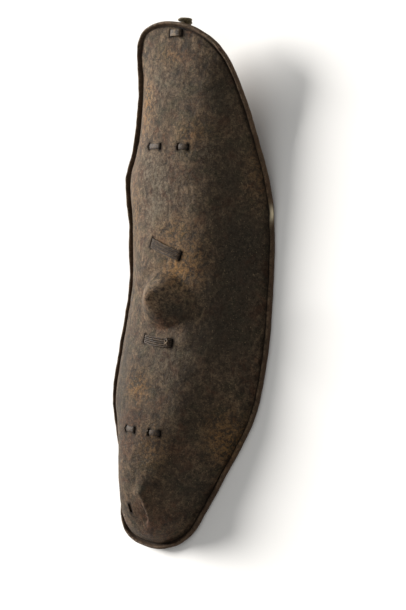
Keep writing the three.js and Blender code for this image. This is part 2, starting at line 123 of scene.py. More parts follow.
def smoothstep(values: np.ndarray, low: float, high: float) -> np.ndarray:
    """0 below low, 1 above high, smooth between them."""
    share = np.clip((values - low) / (high - low), 0, 1)
    return share * share * (3 - 2 * share)


def bell(distance: np.ndarray, width: float) -> np.ndarray:
    """1 on the spot, and a smooth fall to almost nothing at two widths."""
    return np.exp(-((distance / width) ** 2))


def stitch(near: np.ndarray, far: np.ndarray) -> np.ndarray:
    """Quads between two closed rings of vertex numbers, as rows of four."""
    return np.stack([near, far, np.roll(far, -1), np.roll(near, -1)], axis=1)


def vertex_normals(points: np.ndarray, faces: np.ndarray) -> np.ndarray:
    """The normal at each point, weighted by the area of its quads.

    Args:
        points: Rows of x, y, z.
        faces: Rows of four vertex numbers.

    Returns:
        One unit vector for each point.
    """
    corners = points[faces]
    normals = np.cross(corners[:, 2] - corners[:, 0], corners[:, 3] - corners[:, 1])
    total = np.zeros_like(points)
    for column in range(4):
        np.add.at(total, faces[:, column], normals)
    return unit(total)


def line_distance(plan: np.ndarray, line: Sequence[Plan]) -> tuple[np.ndarray, np.ndarray]:
    """How far points of the plan are from a line of segments.

    Args:
        plan: Rows of x, y.
        line: The line's corners.

    Returns:
        The distance to the line, and how far along the line its nearest place is.
    """
    best = np.full(len(plan), np.inf)
    along = np.zeros(len(plan))
    walked = 0.0
    for start, end in itertools.pairwise(np.array(line, float)):
        step = end - start
        length = float(np.linalg.norm(step))
        share = np.clip((plan - start) @ step / length**2, 0, 1)
        distance = np.linalg.norm(plan - start - share[:, None] * step, axis=1)
        nearer = distance < best
        best = np.where(nearer, distance, best)
        along = np.where(nearer, walked + share * length, along)
        walked += length
    return best, along


def corners_cut(path: np.ndarray, times: int, closed: bool) -> np.ndarray:
    """A path with its corners cut again and again, which rounds them.

    Args:
        path: Rows of x, y, z.
        times: How often.
        closed: Whether the last point runs on to the first.

    Returns:
        The rounder path.
    """
    for _ in range(times):
        following = np.roll(path, -1, axis=0) if closed else path[1:]
        leading = path if closed else path[:-1]
        pairs = np.stack([0.75 * leading + 0.25 * following, 0.25 * leading + 0.75 * following], axis=1)
        cut = pairs.reshape(-1, 3)
        path = cut if closed else np.vstack([path[:1], cut, path[-1:]])
    return path


def even_path(path: np.ndarray, step: float, closed: bool) -> np.ndarray:
    """A path with its points a step apart.

    Args:
        path: Rows of x, y, z.
        step: About how far apart the new points are.
        closed: Whether the last point runs on to the first.

    Returns:
        The new points; a closed path doesn't repeat its first one.
    """
    full = np.vstack([path, path[:1]]) if closed else path
    walked = np.concatenate([[0], np.cumsum(np.linalg.norm(np.diff(full, axis=0), axis=1))])
    count = max(4, round(walked[-1] / step))
    places = np.linspace(0, walked[-1], count + 1)
    made = np.stack([np.interp(places, walked, full[:, axis]) for axis in range(3)], axis=1)
    return made[:-1] if closed else made


def swept(path: np.ndarray, across: np.ndarray, sections: np.ndarray, closed: bool) -> MeshData:
    """A section carried along a path.

    Args:
        path: Rows of x, y, z.
        across: The direction that stays across the path, one for all or one for each point.
        sections: For each point of the path, the section's corners as offsets off and across the path.
        closed: Whether the path is a loop; an open one is capped.

    Returns:
        A closed mesh.
    """
    before = np.roll(path, 1, axis=0)
    after = np.roll(path, -1, axis=0)
    if not closed:
        before[0], after[-1] = path[0], path[-1]
    along = unit(after - before)
    side = unit(across - np.sum(across * along, axis=1, keepdims=True) * along)
    off = np.cross(side, along)
    points = path[:, None] + sections[..., :1] * off[:, None] + sections[..., 1:] * side[:, None]
    count, corners = sections.shape[:2]
    rings = np.arange(count * corners).reshape(count, corners)
    last = count if closed else count - 1
    faces = [row for k in range(last) for row in stitch(rings[k], rings[(k + 1) % count]).tolist()]
    if not closed:
        faces += [rings[0].tolist(), rings[-1][::-1].tolist()]
    return MeshData(points.reshape(-1, 3), faces)


@dataclass(frozen=True)
class SmoothNoise:
    """Seeded noise from -1 to 1 that changes smoothly from cell to cell."""

    seed: int
    cell: float
    period: int = 24

    def __call__(self, points: np.ndarray) -> np.ndarray:
        """The noise at rows of x, y, z."""
        table = np.random.default_rng(self.seed).uniform(-1, 1, (self.period,) * 3)
        place = points / self.cell
        base = np.floor(place).astype(int)
        share = place - base
        share = share * share * (3 - 2 * share)
        total = np.zeros(len(points))
        for corner in itertools.product((0, 1), repeat=3):
            weight = np.prod(np.where(corner, share, 1 - share), axis=1)
            index = (base + corner) % self.period
            total += weight * table[tuple(index.T)]
        return total


def add_object(name: str, data: MeshData, finish: bpy.types.Material) -> bpy.types.Object:
    """A mesh object in the scene, smooth except over sharp edges.

    Args:
        name: Its name.
        data: Its points and faces.
        finish: Its material.

    Returns:
        The object.
    """
    mesh = bpy.data.meshes.new(name)
    mesh.from_pydata(data.points.tolist(), [], data.faces)
    mesh.validate()
    mesh.shade_smooth()
    mesh.set_sharp_from_angle(angle=SHARP_ANGLE)
    mesh.materials.append(finish)
    made = bpy.data.objects.new(name, mesh)
    bpy.context.scene.collection.objects.link(made)
    return made


def paint(mesh: bpy.types.Mesh, masks: Mapping[str, np.ndarray]) -> None:
    """Stores masks, one number for each vertex, for the materials to read."""
    for name, values in masks.items():
        attribute = mesh.attributes.new(name, "FLOAT", "POINT")
        attribute.data.foreach_set("value", values.astype(np.float32))


def vertex_array(mesh: bpy.types.Mesh) -> np.ndarray:
    """A mesh's vertices as rows of x, y, z."""
    flat = np.zeros(len(mesh.vertices) * 3, np.float32)
    mesh.vertices.foreach_get("co", flat)
    return flat.reshape(-1, 3).astype(float)


def dress_over(piece: bpy.types.Object, slot: str, *nodes: str) -> None:
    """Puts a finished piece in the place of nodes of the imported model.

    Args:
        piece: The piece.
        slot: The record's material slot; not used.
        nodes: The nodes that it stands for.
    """
    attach(piece, BODY)
    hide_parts(*nodes)
    log.info("%s: %d faces", piece.name, len(piece.data.polygons))


# Shader helpers


Number = float | int


def linear(red: Number, green: Number, blue: Number) -> tuple[float, float, float, float]:
    """A colour given as 0 to 255 on a screen, as the shader's linear colour."""
    shares = [value / 255 for value in (red, green, blue)]
    lit = [s / 12.92 if s <= 0.04045 else ((s + 0.055) / 1.055) ** 2.4 for s in shares]
    return (*lit, 1.0)


class Value:
    """A node's output that takes part in Python arithmetic."""

    def __init__(self, graph: "Graph", socket: bpy.types.NodeSocket) -> None:
        """Wraps a socket of a graph."""
        self.graph = graph
        self.socket = socket

    @property
    def wide(self) -> bool:
        """Whether it is a colour or vector."""
        return self.socket.type != "VALUE"

    def _with(self, operation: str, left: "Link", right: "Link") -> "Value":
        """Adds one Math node, or Vector Math where a side is a colour or vector."""
        if not any(isinstance(side, Value) and side.wide for side in (left, right)):
            return self.graph.node("ShaderNodeMath", {"operation": operation}, {0: left, 1: right})
        sides = [(side,) * 3 if isinstance(side, Number) else side for side in (left, right)]
        settings = {"operation": operation}
        return self.graph.node("ShaderNodeVectorMath", settings, {0: sides[0], 1: sides[1]})

    def __add__(self, other: "Link") -> "Value":
        """self + other"""
        return self._with("ADD", self, other)

    def __radd__(self, other: "Link") -> "Value":
        """other + self"""
        return self._with("ADD", other, self)

    def __sub__(self, other: "Link") -> "Value":
        """self - other"""
        return self._with("SUBTRACT", self, other)

    def __rsub__(self, other: "Link") -> "Value":
        """other - self"""
        return self._with("SUBTRACT", other, self)

    def __mul__(self, other: "Link") -> "Value":
        """self * other"""
        return self._with("MULTIPLY", self, other)

    def __rmul__(self, other: "Link") -> "Value":
        """other * self"""
        return self._with("MULTIPLY", other, self)


Link = Value | Number | tuple


class Graph:
    """The node graph of one material."""

    def __init__(self, name: str) -> None:
        """Starts an empty material of that name."""
        self.material = bpy.data.materials.new(name)
        self.material.use_nodes = True
        self.tree = self.material.node_tree
        self.tree.nodes.clear()

    def node(
        self,
        kind: str,
        settings: Mapping[str, object],
        inputs: Mapping[str | int, Link],
        output: str | int = 0,
    ) -> "Value | None":
        """Adds a node.

        Args:
            kind: The node's type.
            settings: Its properties, set first; stops are a ramp's places and colours.
            inputs: The values or links of its sockets, by name, identifier or number.
            output: Which output is wanted.

        Returns:
            That output, or None on a node that has none.
        """
        made = self.tree.nodes.new(kind)
        for key, value in settings.items():
            if key == "stops":
                self._set_stops(made.color_ramp, value)
            else:
                setattr(made, key, value)
        for key, value in inputs.items():
            socket = self._find(made.inputs, key)
            if isinstance(value, Value):
                self.tree.links.new(value.socket, socket)
            else:
                socket.default_value = value
        return Value(self, self._find(made.outputs, output)) if len(made.outputs) else None

    @staticmethod
    def _find(sockets: Iterable[bpy.types.NodeSocket], key: str | int) -> bpy.types.NodeSocket:
        """The socket with that number, identifier or name."""
        listed = list(sockets)
        if isinstance(key, int):
            return listed[key]
        exact = [socket for socket in listed if socket.identifier == key]
        return (exact or [socket for socket in listed if socket.name == key])[0]

    @staticmethod
    def _set_stops(ramp: bpy.types.ColorRamp, stops: Sequence[tuple[float, tuple]]) -> None:
        """Gives a ramp its stops."""
        while len(ramp.elements) < len(stops):
            ramp.elements.new(0.5)
        for element, (place, colour) in zip(ramp.elements, stops, strict=True):
            element.position = place
            element.color = colour

    def place(self) -> Value:
        """The place on the object, in metres."""
        return self.node("ShaderNodeTexCoord", {}, {}, "Object")

    def mask(self, name: str) -> Value:
        """A mask stored on the mesh."""
        return self.node("ShaderNodeAttribute", {"attribute_name": name}, {}, "Fac")

    def mix(self, low: Link, high: Link, share: Link, blend: str = "MIX") -> Value:
        """A colour from low to high.

        Args:
            low: The colour at share 0.
            high: The colour at share 1.
            share: How much of high.
            blend: The Mix node's way of blending.

        Returns:
            The mixed colour.
        """
        settings = {"data_type": "RGBA", "blend_type": blend, "clamp_factor": True}
        inputs = {"Factor_Float": share, "A_Color": low, "B_Color": high}
        return self.node("ShaderNodeMix", settings, inputs, "Result_Color")

    def stretch(self, value: Link, low: float, high: float) -> Value:
        """0 below low, 1 above high, smooth between them."""
        settings = {"interpolation_type": "SMOOTHSTEP"}
        return self.node("ShaderNodeMapRange", settings, {"Value": value, 1: low, 2: high, 3: 0.0, 4: 1.0})

    def noise(
        self, place: Value, size: float, detail: float = 3, rough: float = 0.55, bend: float = 0
    ) -> Value:
        """Cloudy noise about 0.5.

        Args:
            place: Where.
            size: The size of its spots, in metres where place is.
            detail: How many finer layers it has.
            rough: How strong they are.
            bend: How much it is distorted.

        Returns:
            The noise.
        """
        inputs = {
            "Vector": place, "Scale": 1 / size, "Detail": detail, "Roughness": rough, "Distortion": bend,
        }
        return self.node("ShaderNodeTexNoise", {"noise_dimensions": "3D"}, inputs, "Fac")

    def cell_edges(self, place: Value, size: float) -> Value:
        """How far a place is from the nearest border between cells of that size."""
        settings = {"feature": "DISTANCE_TO_EDGE"}
        return self.node("ShaderNodeTexVoronoi", settings, {"Vector": place, "Scale": 1 / size}, "Distance")

    def lines(self, place: Value, size: float, width: float) -> Value:
        """Fine wandering lines: 1 on them, 0 beside them."""
        about = self.noise(place, size, 2, 0.5) - 0.5
        off = self.node("ShaderNodeMath", {"operation": "ABSOLUTE"}, {0: about})
        return 1 - self.stretch(off, 0.0, width)

    def clamp(self, value: Value) -> Value:
        """The value held between 0 and 1."""
        return self.node("ShaderNodeClamp", {}, {"Value": value}, "Result")

    def close(
        self, colour: Link, rough: Link, relief: Value, depth: float, gloss: float = 0.2, coat: Link = 0.0
    ) -> bpy.types.Material:
        """Ends the graph in one Principled shader.

        Args:
            colour: Base colour.
            rough: Roughness.
            relief: Height of the fine relief, about 0 to 1.
            depth: What 1 of it measures, in metres.
            gloss: The shader's specular level.
            coat: How much of a polished coat lies over it.

        Returns:
            The finished material.
        """
        bump = self.node("ShaderNodeBump", {}, {"Strength": 1.0, "Distance": depth, "Height": relief})
        inputs = {
            "Base Color": colour, "Roughness": rough, "Normal": bump,
            "Specular IOR Level": gloss, "Coat Weight": coat, "Coat Roughness": 0.3,
        }
        shader = self.node("ShaderNodeBsdfPrincipled", {}, inputs)
        self.node("ShaderNodeOutputMaterial", {}, {"Surface": shader})
        return self.material


# Finishes


@dataclass(frozen=True)
class HideFinish:
    """Old hide: dark brown with ochre, rust and grey patches, fine grain, scratches and a dull sheen, with
    painted shade on the right flank, the rim, the gutter, the slits' edges and towards the toe, and a painted
    highlight on the boss.
    """

    mid: tuple = linear(84, 69, 54)
    light: tuple = linear(124, 104, 82)
    dark: tuple = linear(50, 41, 32)
    ochre: tuple = linear(134, 98, 56)
    rust: tuple = linear(92, 60, 42)
    grey: tuple = linear(98, 92, 80)
    olive: tuple = linear(68, 63, 47)
    # Dark stains, and painted shade on the right flank and on the boss's lower right.
    soot_and_shade: tuple = linear(43, 39, 32)
    fleck: tuple = linear(156, 134, 104)
    # Near black: for pits, for grime and painted shade in the gutter, and for painted shade at the slits.
    grime_and_shade: tuple = linear(14, 11, 9)
    # The rolled rim's outer face is painted darker, as shade.
    rim: tuple = linear(72, 54, 40)
    raw: tuple = linear(226, 212, 180)
    back: tuple = linear(112, 90, 66)

    def material(self) -> bpy.types.Material:
        """Builds the node graph."""
        graph = Graph("old_hide")
        place = graph.place()
        broad = graph.noise(place, 0.09, 5, 0.7, 0.4)
        blotch = graph.noise(place + 0.7, 0.024, 7, 0.76, 0.5)
        tint = graph.noise(place + 3.3, 0.035, 6, 0.74, 0.6)
        fine = graph.noise(place + 1.9, 0.0075, 4, 0.72, 0.4)
        grit = graph.noise(place + 2.7, 0.0028, 2, 0.7)
        fibre = graph.noise(place * (1.0, 0.35, 1.0), 0.009, 4, 0.7, 0.8)
        speckled = graph.stretch(fine * 0.6 + blotch * 0.4, 0.42, 0.58)

        colour = graph.mix(self.dark, self.mid, graph.stretch(blotch * 0.7 + broad * 0.3, 0.38, 0.54))
        colour = graph.mix(colour, self.light, graph.stretch(blotch * 0.5 + fibre * 0.5, 0.47, 0.64) * 0.8)
        colour = graph.mix(colour, self.olive, graph.stretch(tint, 0.52, 0.6) * 0.55)
        colour = graph.mix(colour, self.rust, graph.stretch(1 - tint, 0.53, 0.62) * 0.4)
        colour = graph.mix(colour, self.ochre, graph.mask("ochre") * speckled * 0.85)
        colour = graph.mix(colour, self.rust, graph.mask("rust") * graph.stretch(fibre, 0.35, 0.62) * 0.8)
        greyed = graph.mask("grey") * graph.stretch(fine + blotch, 0.88, 1.15)
        colour = graph.mix(colour, self.grey, greyed * 0.8)
        # Dark stains, and painted shade where the patches lie on the right flank and the boss's lower right.
        sooted_and_shaded = graph.mask("soot_and_shade") * graph.stretch(blotch * 0.6 + fine * 0.4, 0.36, 0.5)
        colour = graph.mix(colour, self.soot_and_shade, sooted_and_shaded * 0.85)
        # Wear and painted highlight: lighter on the rim's crest, on the boss and at the painted highlight
        # spot.
        colour = graph.mix(colour, self.light, graph.mask("wear_and_highlight") * graph.stretch(fine, 0.35, 0.6) * 0.8)
        # Painted shade: the hide is darkened towards the toe, standing in for light that falls off towards
        # the bottom.
        colour = colour * (1 - 0.28 * graph.mask("painted_toe_shade"))
        colour = colour * (0.62 + 0.76 * graph.stretch(fine, 0.36, 0.64))
        colour = colour * (0.8 + 0.4 * graph.stretch(grit, 0.35, 0.65))
        flecks = graph.stretch(graph.noise(place + 5.1, 0.0026, 1, 0.5), 0.66, 0.74)
        flecks = flecks * graph.stretch(tint, 0.4, 0.55)
        scratches = graph.lines(place * (1.0, 0.22, 1.0), 0.03, 0.01)
        scratches = scratches + graph.lines(place * (0.3, 1.0, 1.0), 0.034, 0.008)
        worn = graph.stretch(graph.noise(place + 8.2, 0.03, 3), 0.5, 0.62)
        colour = graph.mix(colour, self.fleck, graph.clamp(flecks * 0.4 + scratches * worn * 0.13))
        pits = graph.stretch(1 - graph.noise(place + 6.4, 0.004, 2, 0.6), 0.62, 0.7)
        colour = graph.mix(colour, self.grime_and_shade, pits * 0.6)
        # Painted shade: the rolled rim's outer face darker, its crest mostly spared.
        colour = graph.mix(colour, self.rim, graph.mask("rim") * (0.55 + 0.35 * blotch))
        colour = graph.mix(colour, self.back, graph.mask("inside") * (0.5 + 0.4 * blotch))
        # Grime and painted shade in the gutter by the rim, and painted shade at the slits' edges.
        colour = graph.mix(colour, self.grime_and_shade, graph.mask("grime_and_shade"))
        colour = graph.mix(colour, self.raw, graph.mask("raw"))

        grain = graph.cell_edges(place + fine * 0.002, 0.0028)
        relief = (
            blotch * 1.1 + fine * 0.8 + grit * 0.35 + graph.stretch(grain, 0.0, 0.2) * 0.08
            - scratches * worn * 0.05 - pits * 0.12
        )
        rough = 0.55 + 0.3 * fine - 0.1 * graph.mask("wear_and_highlight") + 0.2 * graph.mask("grime_and_shade")
        return graph.close(colour, rough, relief, 0.0026, 0.13, graph.mask("polish") * 0.5)


@dataclass(frozen=True)
class ThongFinish:
    """Dried raw thong: dark brown, paler where it is twisted or rubbed. Where it stands highest it is paler
    from wear and painted highlight, and where it lies low by the hide it is darker from grime and painted
    shade.
    """

    dark: tuple = linear(44, 35, 28)
    light: tuple = linear(98, 80, 62)
    pale: tuple = linear(148, 126, 100)
    grime_and_shade: tuple = linear(12, 9, 7)

    def material(self) -> bpy.types.Material:
        """Builds the node graph."""
        graph = Graph("dried_thong")
        place = graph.place()
        along = graph.noise(place * (0.3, 1.0, 1.0), 0.0016, 3, 0.6)
        blotch = graph.noise(place, 0.006, 4, 0.7)
        colour = graph.mix(self.dark, self.light, graph.stretch(along * 0.5 + blotch * 0.5, 0.42, 0.66))
        # Paler where it stands highest: wear and painted highlight.
        colour = graph.mix(colour, self.pale, graph.mask("wear_and_highlight") * graph.stretch(blotch, 0.35, 0.6))
        # Darker low by the hide: painted shade and grime.
        colour = graph.mix(colour, self.grime_and_shade, graph.mask("grime_and_shade") * 0.92)
        return graph.close(colour, 0.42 + 0.3 * blotch, along + blotch * 0.6, 0.001)


@dataclass(frozen=True)
class StaveFinish:
    """Bare peeled branch: olive brown, with fine cracks along it."""

    dark: tuple = linear(54, 48, 34)
    light: tuple = linear(112, 98, 70)
    grime_and_shade: tuple = linear(28, 24, 18)

    def material(self) -> bpy.types.Material:
        """Builds the node graph."""
        graph = Graph("peeled_branch")
        place = graph.place()
        along = graph.noise(place * (1.0, 0.12, 1.0), 0.0022, 4, 0.65, 0.4)
        blotch = graph.noise(place, 0.012, 4, 0.6)
        colour = graph.mix(self.dark, self.light, graph.stretch(along * 0.6 + blotch * 0.4, 0.34, 0.68))
        colour = graph.mix(colour, self.grime_and_shade, graph.stretch(1 - along, 0.6, 0.75) * 0.8)
        return graph.close(colour, 0.55 + 0.25 * blotch, along + blotch * 0.5, 0.0009)


@dataclass(frozen=True)
class FloorFinish:
    """A pale, evenly painted studio floor."""

    pale: tuple = (0.94, 0.94, 0.935, 1.0)

    def material(self) -> bpy.types.Material:
        """Builds the node graph."""
        graph = Graph("studio_floor")
        cloud = graph.noise(graph.place(), 0.6, 2)
        return graph.close(self.pale, 0.85 + 0.1 * cloud, cloud, 0.0001)


# The hide


STATIONS = (  # along, half width, bow, skew, rim height, crown height, as shares of the sizes below
    (-0.5, 0, 0.074, -0.1, 0.07, 0.7),
    (-0.49, 0.29, 0.078, -0.12, 0.05, 0.75),
    (-0.458, 0.49, 0.066, -0.095, 0.02, 0.89),
    (-0.408, 0.59, 0.02, -0.02, 0, 0.97),
    (-0.323, 0.76, 0.036, 0, 0, 1),
    (-0.228, 0.96, 0.054, 0.006, 0, 0.98),
    (-0.114, 0.992, 0.08, 0.009, 0, 0.93),
    (0, 0.964, 0.08, 0.021, 0, 0.91),
    (0.114, 0.982, 0.068, 0.001, 0, 0.93),
    (0.204, 0.975, 0.058, -0.018, 0.1, 0.98),
    (0.285, 0.835, 0.048, 0.004, 0.28, 1),
    (0.38, 0.69, 0.036, 0.01, 0.54, 1),
    (0.446, 0.58, 0.026, -0.011, 0.76, 1.01),
    (0.486, 0.36, 0.02, -0.038, 0.92, 1.02),
    (0.5, 0, 0.018, -0.058, 0.97, 1.02),
)
LAST = len(STATIONS) - 1


class Section(NamedTuple):
    """Cross-sections of the hide: arrays, one entry for each place along it."""

    y: np.ndarray
    half: np.ndarray
    crown_x: np.ndarray
    rim_x: np.ndarray
    rim_z: np.ndarray
    crown_z: np.ndarray


@dataclass(frozen=True)
class HideForm:
    """The moulded form of the hide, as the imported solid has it, with a soft knob on the boss."""

    length: float
    origin: Plan = (0.0, 0.0)
    width: float = 0.39
    depth: float = 0.114
    thick: float = 0.007
    gutter: float = 0.005
    bead_width: float = 0.0085
    bead_height: float = 0.012
    boss_radius: float = 0.061
    boss_height: float = 0.043
    boss_fullness: float = 1.5
    boss_place: float = -0.021
    knob_radius: float = 0.019
    knob_height: float = 0.006
    spine_share: float = 0.87
    shoulder: float = 2.4
    toe_ridge: tuple[Plan, ...] = ((0.052, -0.39), (0.105, -0.418), (0.105, -0.458), (0.028, -0.489))
    toe_ridge_width: float = 0.013
    toe_ridge_height: float = 0.0045

    @classmethod
    def from_frame(cls) -> "HideForm":
        """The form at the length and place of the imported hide."""
        corners = np.array([corner for node in HIDE_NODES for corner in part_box(node)])
        low, high = corners.min(axis=0), corners.max(axis=0)
        bare = cls(length=float(high[1] - low[1]))
        edge = bare.outline(np.linspace(0, 2 * LAST, 800))[:, 0]
        shift = (low[0] + high[0] - edge.min() - edge.max()) / 2
        return replace(bare, origin=(float(shift), float(low[1] + high[1]) / 2))

    def section(self, t: np.ndarray) -> Section:
        """The cross-section at station number t, by a smooth curve through the stations."""
        table = np.array(STATIONS, float)
        mirror = np.array([1, -1, 1, 1, 1, 1])
        rows = np.vstack([table[1] * mirror, table, table[-2] * mirror])
        i = np.clip(np.floor(t).astype(int), 0, LAST - 1)
        f = (t - i)[..., None]
        a, b, c, d = (rows[i + k] for k in range(4))
        curve = 2 * b + (c - a) * f + (2 * a - 5 * b + 4 * c - d) * f**2 + (3 * b - a - 3 * c + d) * f**3
        along, half, bow, skew, rim, crown = np.moveaxis(curve / 2, -1, 0)
        return Section(
            along * self.length + self.origin[1],
            half * self.width / 2,
            bow * self.width + self.origin[0],
            (bow + skew) * self.width + self.origin[0],
            np.maximum(0, rim) * self.depth,
            crown * self.depth,
        )

    @staticmethod
    def side_of(u: np.ndarray) -> tuple[np.ndarray, np.ndarray]:
        """Station number and side, 1 right and -1 left, at u around the outline."""
        v = np.mod(u, 2 * LAST)
        return np.where(v <= LAST, v, 2 * LAST - v), np.where(v <= LAST, 1, -1)

    def outline(self, u: np.ndarray) -> np.ndarray:
        """Places of the plan on the rim's edge; u is 0 at the toe and runs anticlockwise."""
        t, side = self.side_of(u)
        cut = self.section(t)
        return np.stack([cut.rim_x + side * cut.half, cut.y], axis=-1)

    def outward(self, u: np.ndarray) -> np.ndarray:
        """The outline's outward direction in the plan."""
        step = 0.01
        along = unit(self.outline(u + step) - self.outline(u - step))
        return np.stack([along[..., 1], -along[..., 0]], axis=-1)

    def crown_at(self, y: float) -> Section:
        """The section whose crown point lies at y."""
        t = np.linspace(0, LAST, 4001)
        cut = self.section(t)
        crown_y = (cut.y - self.origin[1]) * self.spine_share + self.origin[1]
        return self.section(np.interp(y, crown_y, t)[None])

    @property
    def boss(self) -> Plan:
        """The middle of the boss in the plan."""
        y = self.boss_place * self.length + self.origin[1]
        return float(self.crown_at(y).crown_x[0]), y

    def boss_rise(self, plan: np.ndarray) -> np.ndarray:
        """How far the boss and its knob stand over the crown line."""
        away = np.linalg.norm(plan - np.array(self.boss), axis=-1)
        share = np.minimum(1, away / self.boss_radius)
        dome = self.boss_height * (1 - share**2) ** self.boss_fullness * (1 - 0.15 * share)
        knob = 1 - smoothstep(away, 0.2 * self.knob_radius, 1.1 * self.knob_radius)
        return dome + self.knob_height * knob * (0.86 + 0.14 * np.cos(3 * away / self.knob_radius))

    def ridge_rise(self, plan: np.ndarray) -> np.ndarray:
        """How far the ridge at the right of the flattened toe stands up."""
        line = np.array(self.toe_ridge) * (self.width, self.length) + self.origin
        flat = plan.reshape(-1, 2)
        away = line_distance(flat, line)[0].reshape(plan.shape[:-1])
        return self.toe_ridge_height * bell(away, self.toe_ridge_width)

    def body(self, u: np.ndarray, share: np.ndarray) -> np.ndarray:
        """Points of the outer side: share 0 on the crown line, 1 at the foot, by the gutter."""
        cut = self.section(self.side_of(u)[0])
        foot = self.outline(u) - self.outward(u) * (self.bead_width + self.gutter)
        crown = np.stack([cut.crown_x, (cut.y - self.origin[1]) * self.spine_share + self.origin[1]], axis=-1)
        plan = crown + (foot - crown) * share[..., None]
        fall = share**self.shoulder
        z = cut.crown_z + (cut.rim_z + self.thick - cut.crown_z) * fall
        z = z + self.boss_rise(plan) + self.ridge_rise(plan)
        return np.concatenate([plan, z[..., None]], axis=-1)

    def rim_profile(self) -> np.ndarray:
        """The rim's section from the gutter over the bead and under it: inset and height."""
        bead, top = self.bead_width, self.bead_height
        return np.array([
            (bead + self.gutter, self.thick),
            (bead + self.gutter * 0.5, self.thick * 0.72),
            (bead, self.thick * 0.9),
            (bead * 0.72, top * 0.95),
            (bead * 0.4, top),
            (bead * 0.1, top * 0.8),
            (0, top * 0.4),
            (bead * 0.2, 0),
            (bead + self.gutter + 0.002, 0),
        ])


@dataclass(frozen=True)
class Crease:
    """A line worked into the hide; its depth is negative where it stands up."""

    line: tuple[Plan, ...]
    width: float
    depth: float

    def rise(self, plan: np.ndarray) -> np.ndarray:
        """How far it lifts the surface."""
        distance, _ = line_distance(plan, self.line)
        return -self.depth * bell(distance, self.width)


@dataclass(frozen=True)
class Ribs:
    """Close wrinkles across a line, from the hide's shrinking over its mould."""

    line: tuple[Plan, ...]
    reach: float
    pitch: float
    depth: float

    def rise(self, plan: np.ndarray) -> np.ndarray:
        """How far they lift the surface."""
        distance, along = line_distance(plan, self.line)
        waver = 1.2 * np.sin(plan[:, 0] * 90) + 0.8 * np.sin(plan[:, 1] * 37)
        return self.depth * bell(distance, self.reach) * np.sin(2 * np.pi * along / self.pitch + waver)


def arc(middle: Plan, radius: float, start: float, end: float) -> tuple[Plan, ...]:
    """Corners of an arc of the plan, from one angle in degrees to another."""
    angles = np.radians(np.linspace(start, end, 9))
    return tuple((middle[0] + radius * math.cos(a), middle[1] + radius * math.sin(a)) for a in angles)


@dataclass(frozen=True)
class Patch:
    """A soft oval of another colour on the outer side, by its place in the plan."""

    x: float
    y: float
    reach_x: float
    reach_y: float
    amount: float = 1.0

    def mask(self, plan: np.ndarray) -> np.ndarray:
        """How strong it is at each place."""
        away = np.hypot((plan[:, 0] - self.x) / self.reach_x, (plan[:, 1] - self.y) / self.reach_y)
        return self.amount * np.exp(-(away**2))


PATCHES: dict[str, tuple[Patch, ...]] = {
    "ochre": (
        Patch(-0.088, 0.363, 0.022, 0.05),
        Patch(0.032, 0.039, 0.03, 0.028, 0.8),
        Patch(-0.036, -0.2, 0.03, 0.03, 0.9),
        Patch(0.139, -0.286, 0.03, 0.055),
        Patch(-0.027, 0.452, 0.03, 0.02, 0.5),
        Patch(0.013, 0.109, 0.045, 0.03, 0.6),
        Patch(0.018, -0.322, 0.03, 0.04, 0.5),
        Patch(-0.11, 0.14, 0.03, 0.07, 0.5),
        Patch(0.05, 0.3, 0.04, 0.03, 0.4),
        Patch(0.07, 0.05, 0.03, 0.05, 0.6),
        Patch(0.156, 0.235, 0.025, 0.06, 0.35),
    ),
    "rust": (
        Patch(0.014, -0.081, 0.03, 0.012),
        Patch(0.002, -0.028, 0.017, 0.017),
        Patch(0.069, -0.323, 0.02, 0.02, 0.8),
        Patch(-0.05, -0.3, 0.03, 0.05, 0.6),
        Patch(0.0, -0.47, 0.035, 0.05, 0.9),
        Patch(-0.1, 0.22, 0.03, 0.03, 0.5),
    ),
    "grey": (
        Patch(-0.052, 0.229, 0.05, 0.04, 0.7),
        Patch(0.075, 0.273, 0.02, 0.02, 0.8),
        Patch(-0.044, 0.408, 0.06, 0.05, 0.5),
        Patch(-0.018, 0.17, 0.06, 0.05, 0.5),
        Patch(0.03, -0.14, 0.06, 0.04, 0.6),
        Patch(-0.045, 0.14, 0.04, 0.05, 0.4),
    ),
    # The patches on the left are dark stains; those on the right flank, the side away from the key light, are
    # painted shade.
    "soot_and_shade": (
        Patch(0.111, 0.236, 0.04, 0.1, 0.8),
        Patch(0.137, 0.081, 0.05, 0.09, 0.8),
        Patch(0.122, -0.074, 0.05, 0.09, 0.8),
        Patch(0.104, -0.24, 0.05, 0.06, 0.6),
        Patch(0.056, -0.375, 0.04, 0.06, 0.5),
        Patch(0.09, -0.42, 0.03, 0.05, 0.4),
        Patch(0.09, 0.4, 0.04, 0.08, 0.7),
        Patch(-0.034, -0.15, 0.02, 0.02, 0.6),
        Patch(-0.102, -0.134, 0.02, 0.03, 0.6),
        Patch(-0.1, -0.22, 0.05, 0.09, 0.55),
        Patch(-0.12, 0.13, 0.035, 0.07, 0.4),
        Patch(0.16, 0.0, 0.03, 0.2, 0.4),
        # Painted shade on the boss's lower right side.
        Patch(0.046, -0.046, 0.022, 0.02),
    ),
}


class HideSurface:
    """Finds the outer and the inner side of the hide under a place of the plan."""

    def __init__(self, outer: MeshData, inner: MeshData) -> None:
        """Indexes both sides."""
        self.outer = BVHTree.FromPolygons(outer.points.tolist(), outer.faces)
        self.inner = BVHTree.FromPolygons(inner.points.tolist(), inner.faces)

    def over(self, x: float, y: float) -> float:
        """Height of the outer side, by its nearest point where the ray passes between two faces."""
        hit = self.outer.ray_cast(Vector((x, y, 1)), Vector((0, 0, -1)))[0]
        return (hit or self.outer.find_nearest(Vector((x, y, 0.12)))[0]).z

    def under(self, x: float, y: float) -> float:
        """Height of the inner side, or infinity beside it."""
        hit = self.inner.ray_cast(Vector((x, y, -1)), Vector((0, 0, 1)))[0]
        return hit.z if hit else math.inf


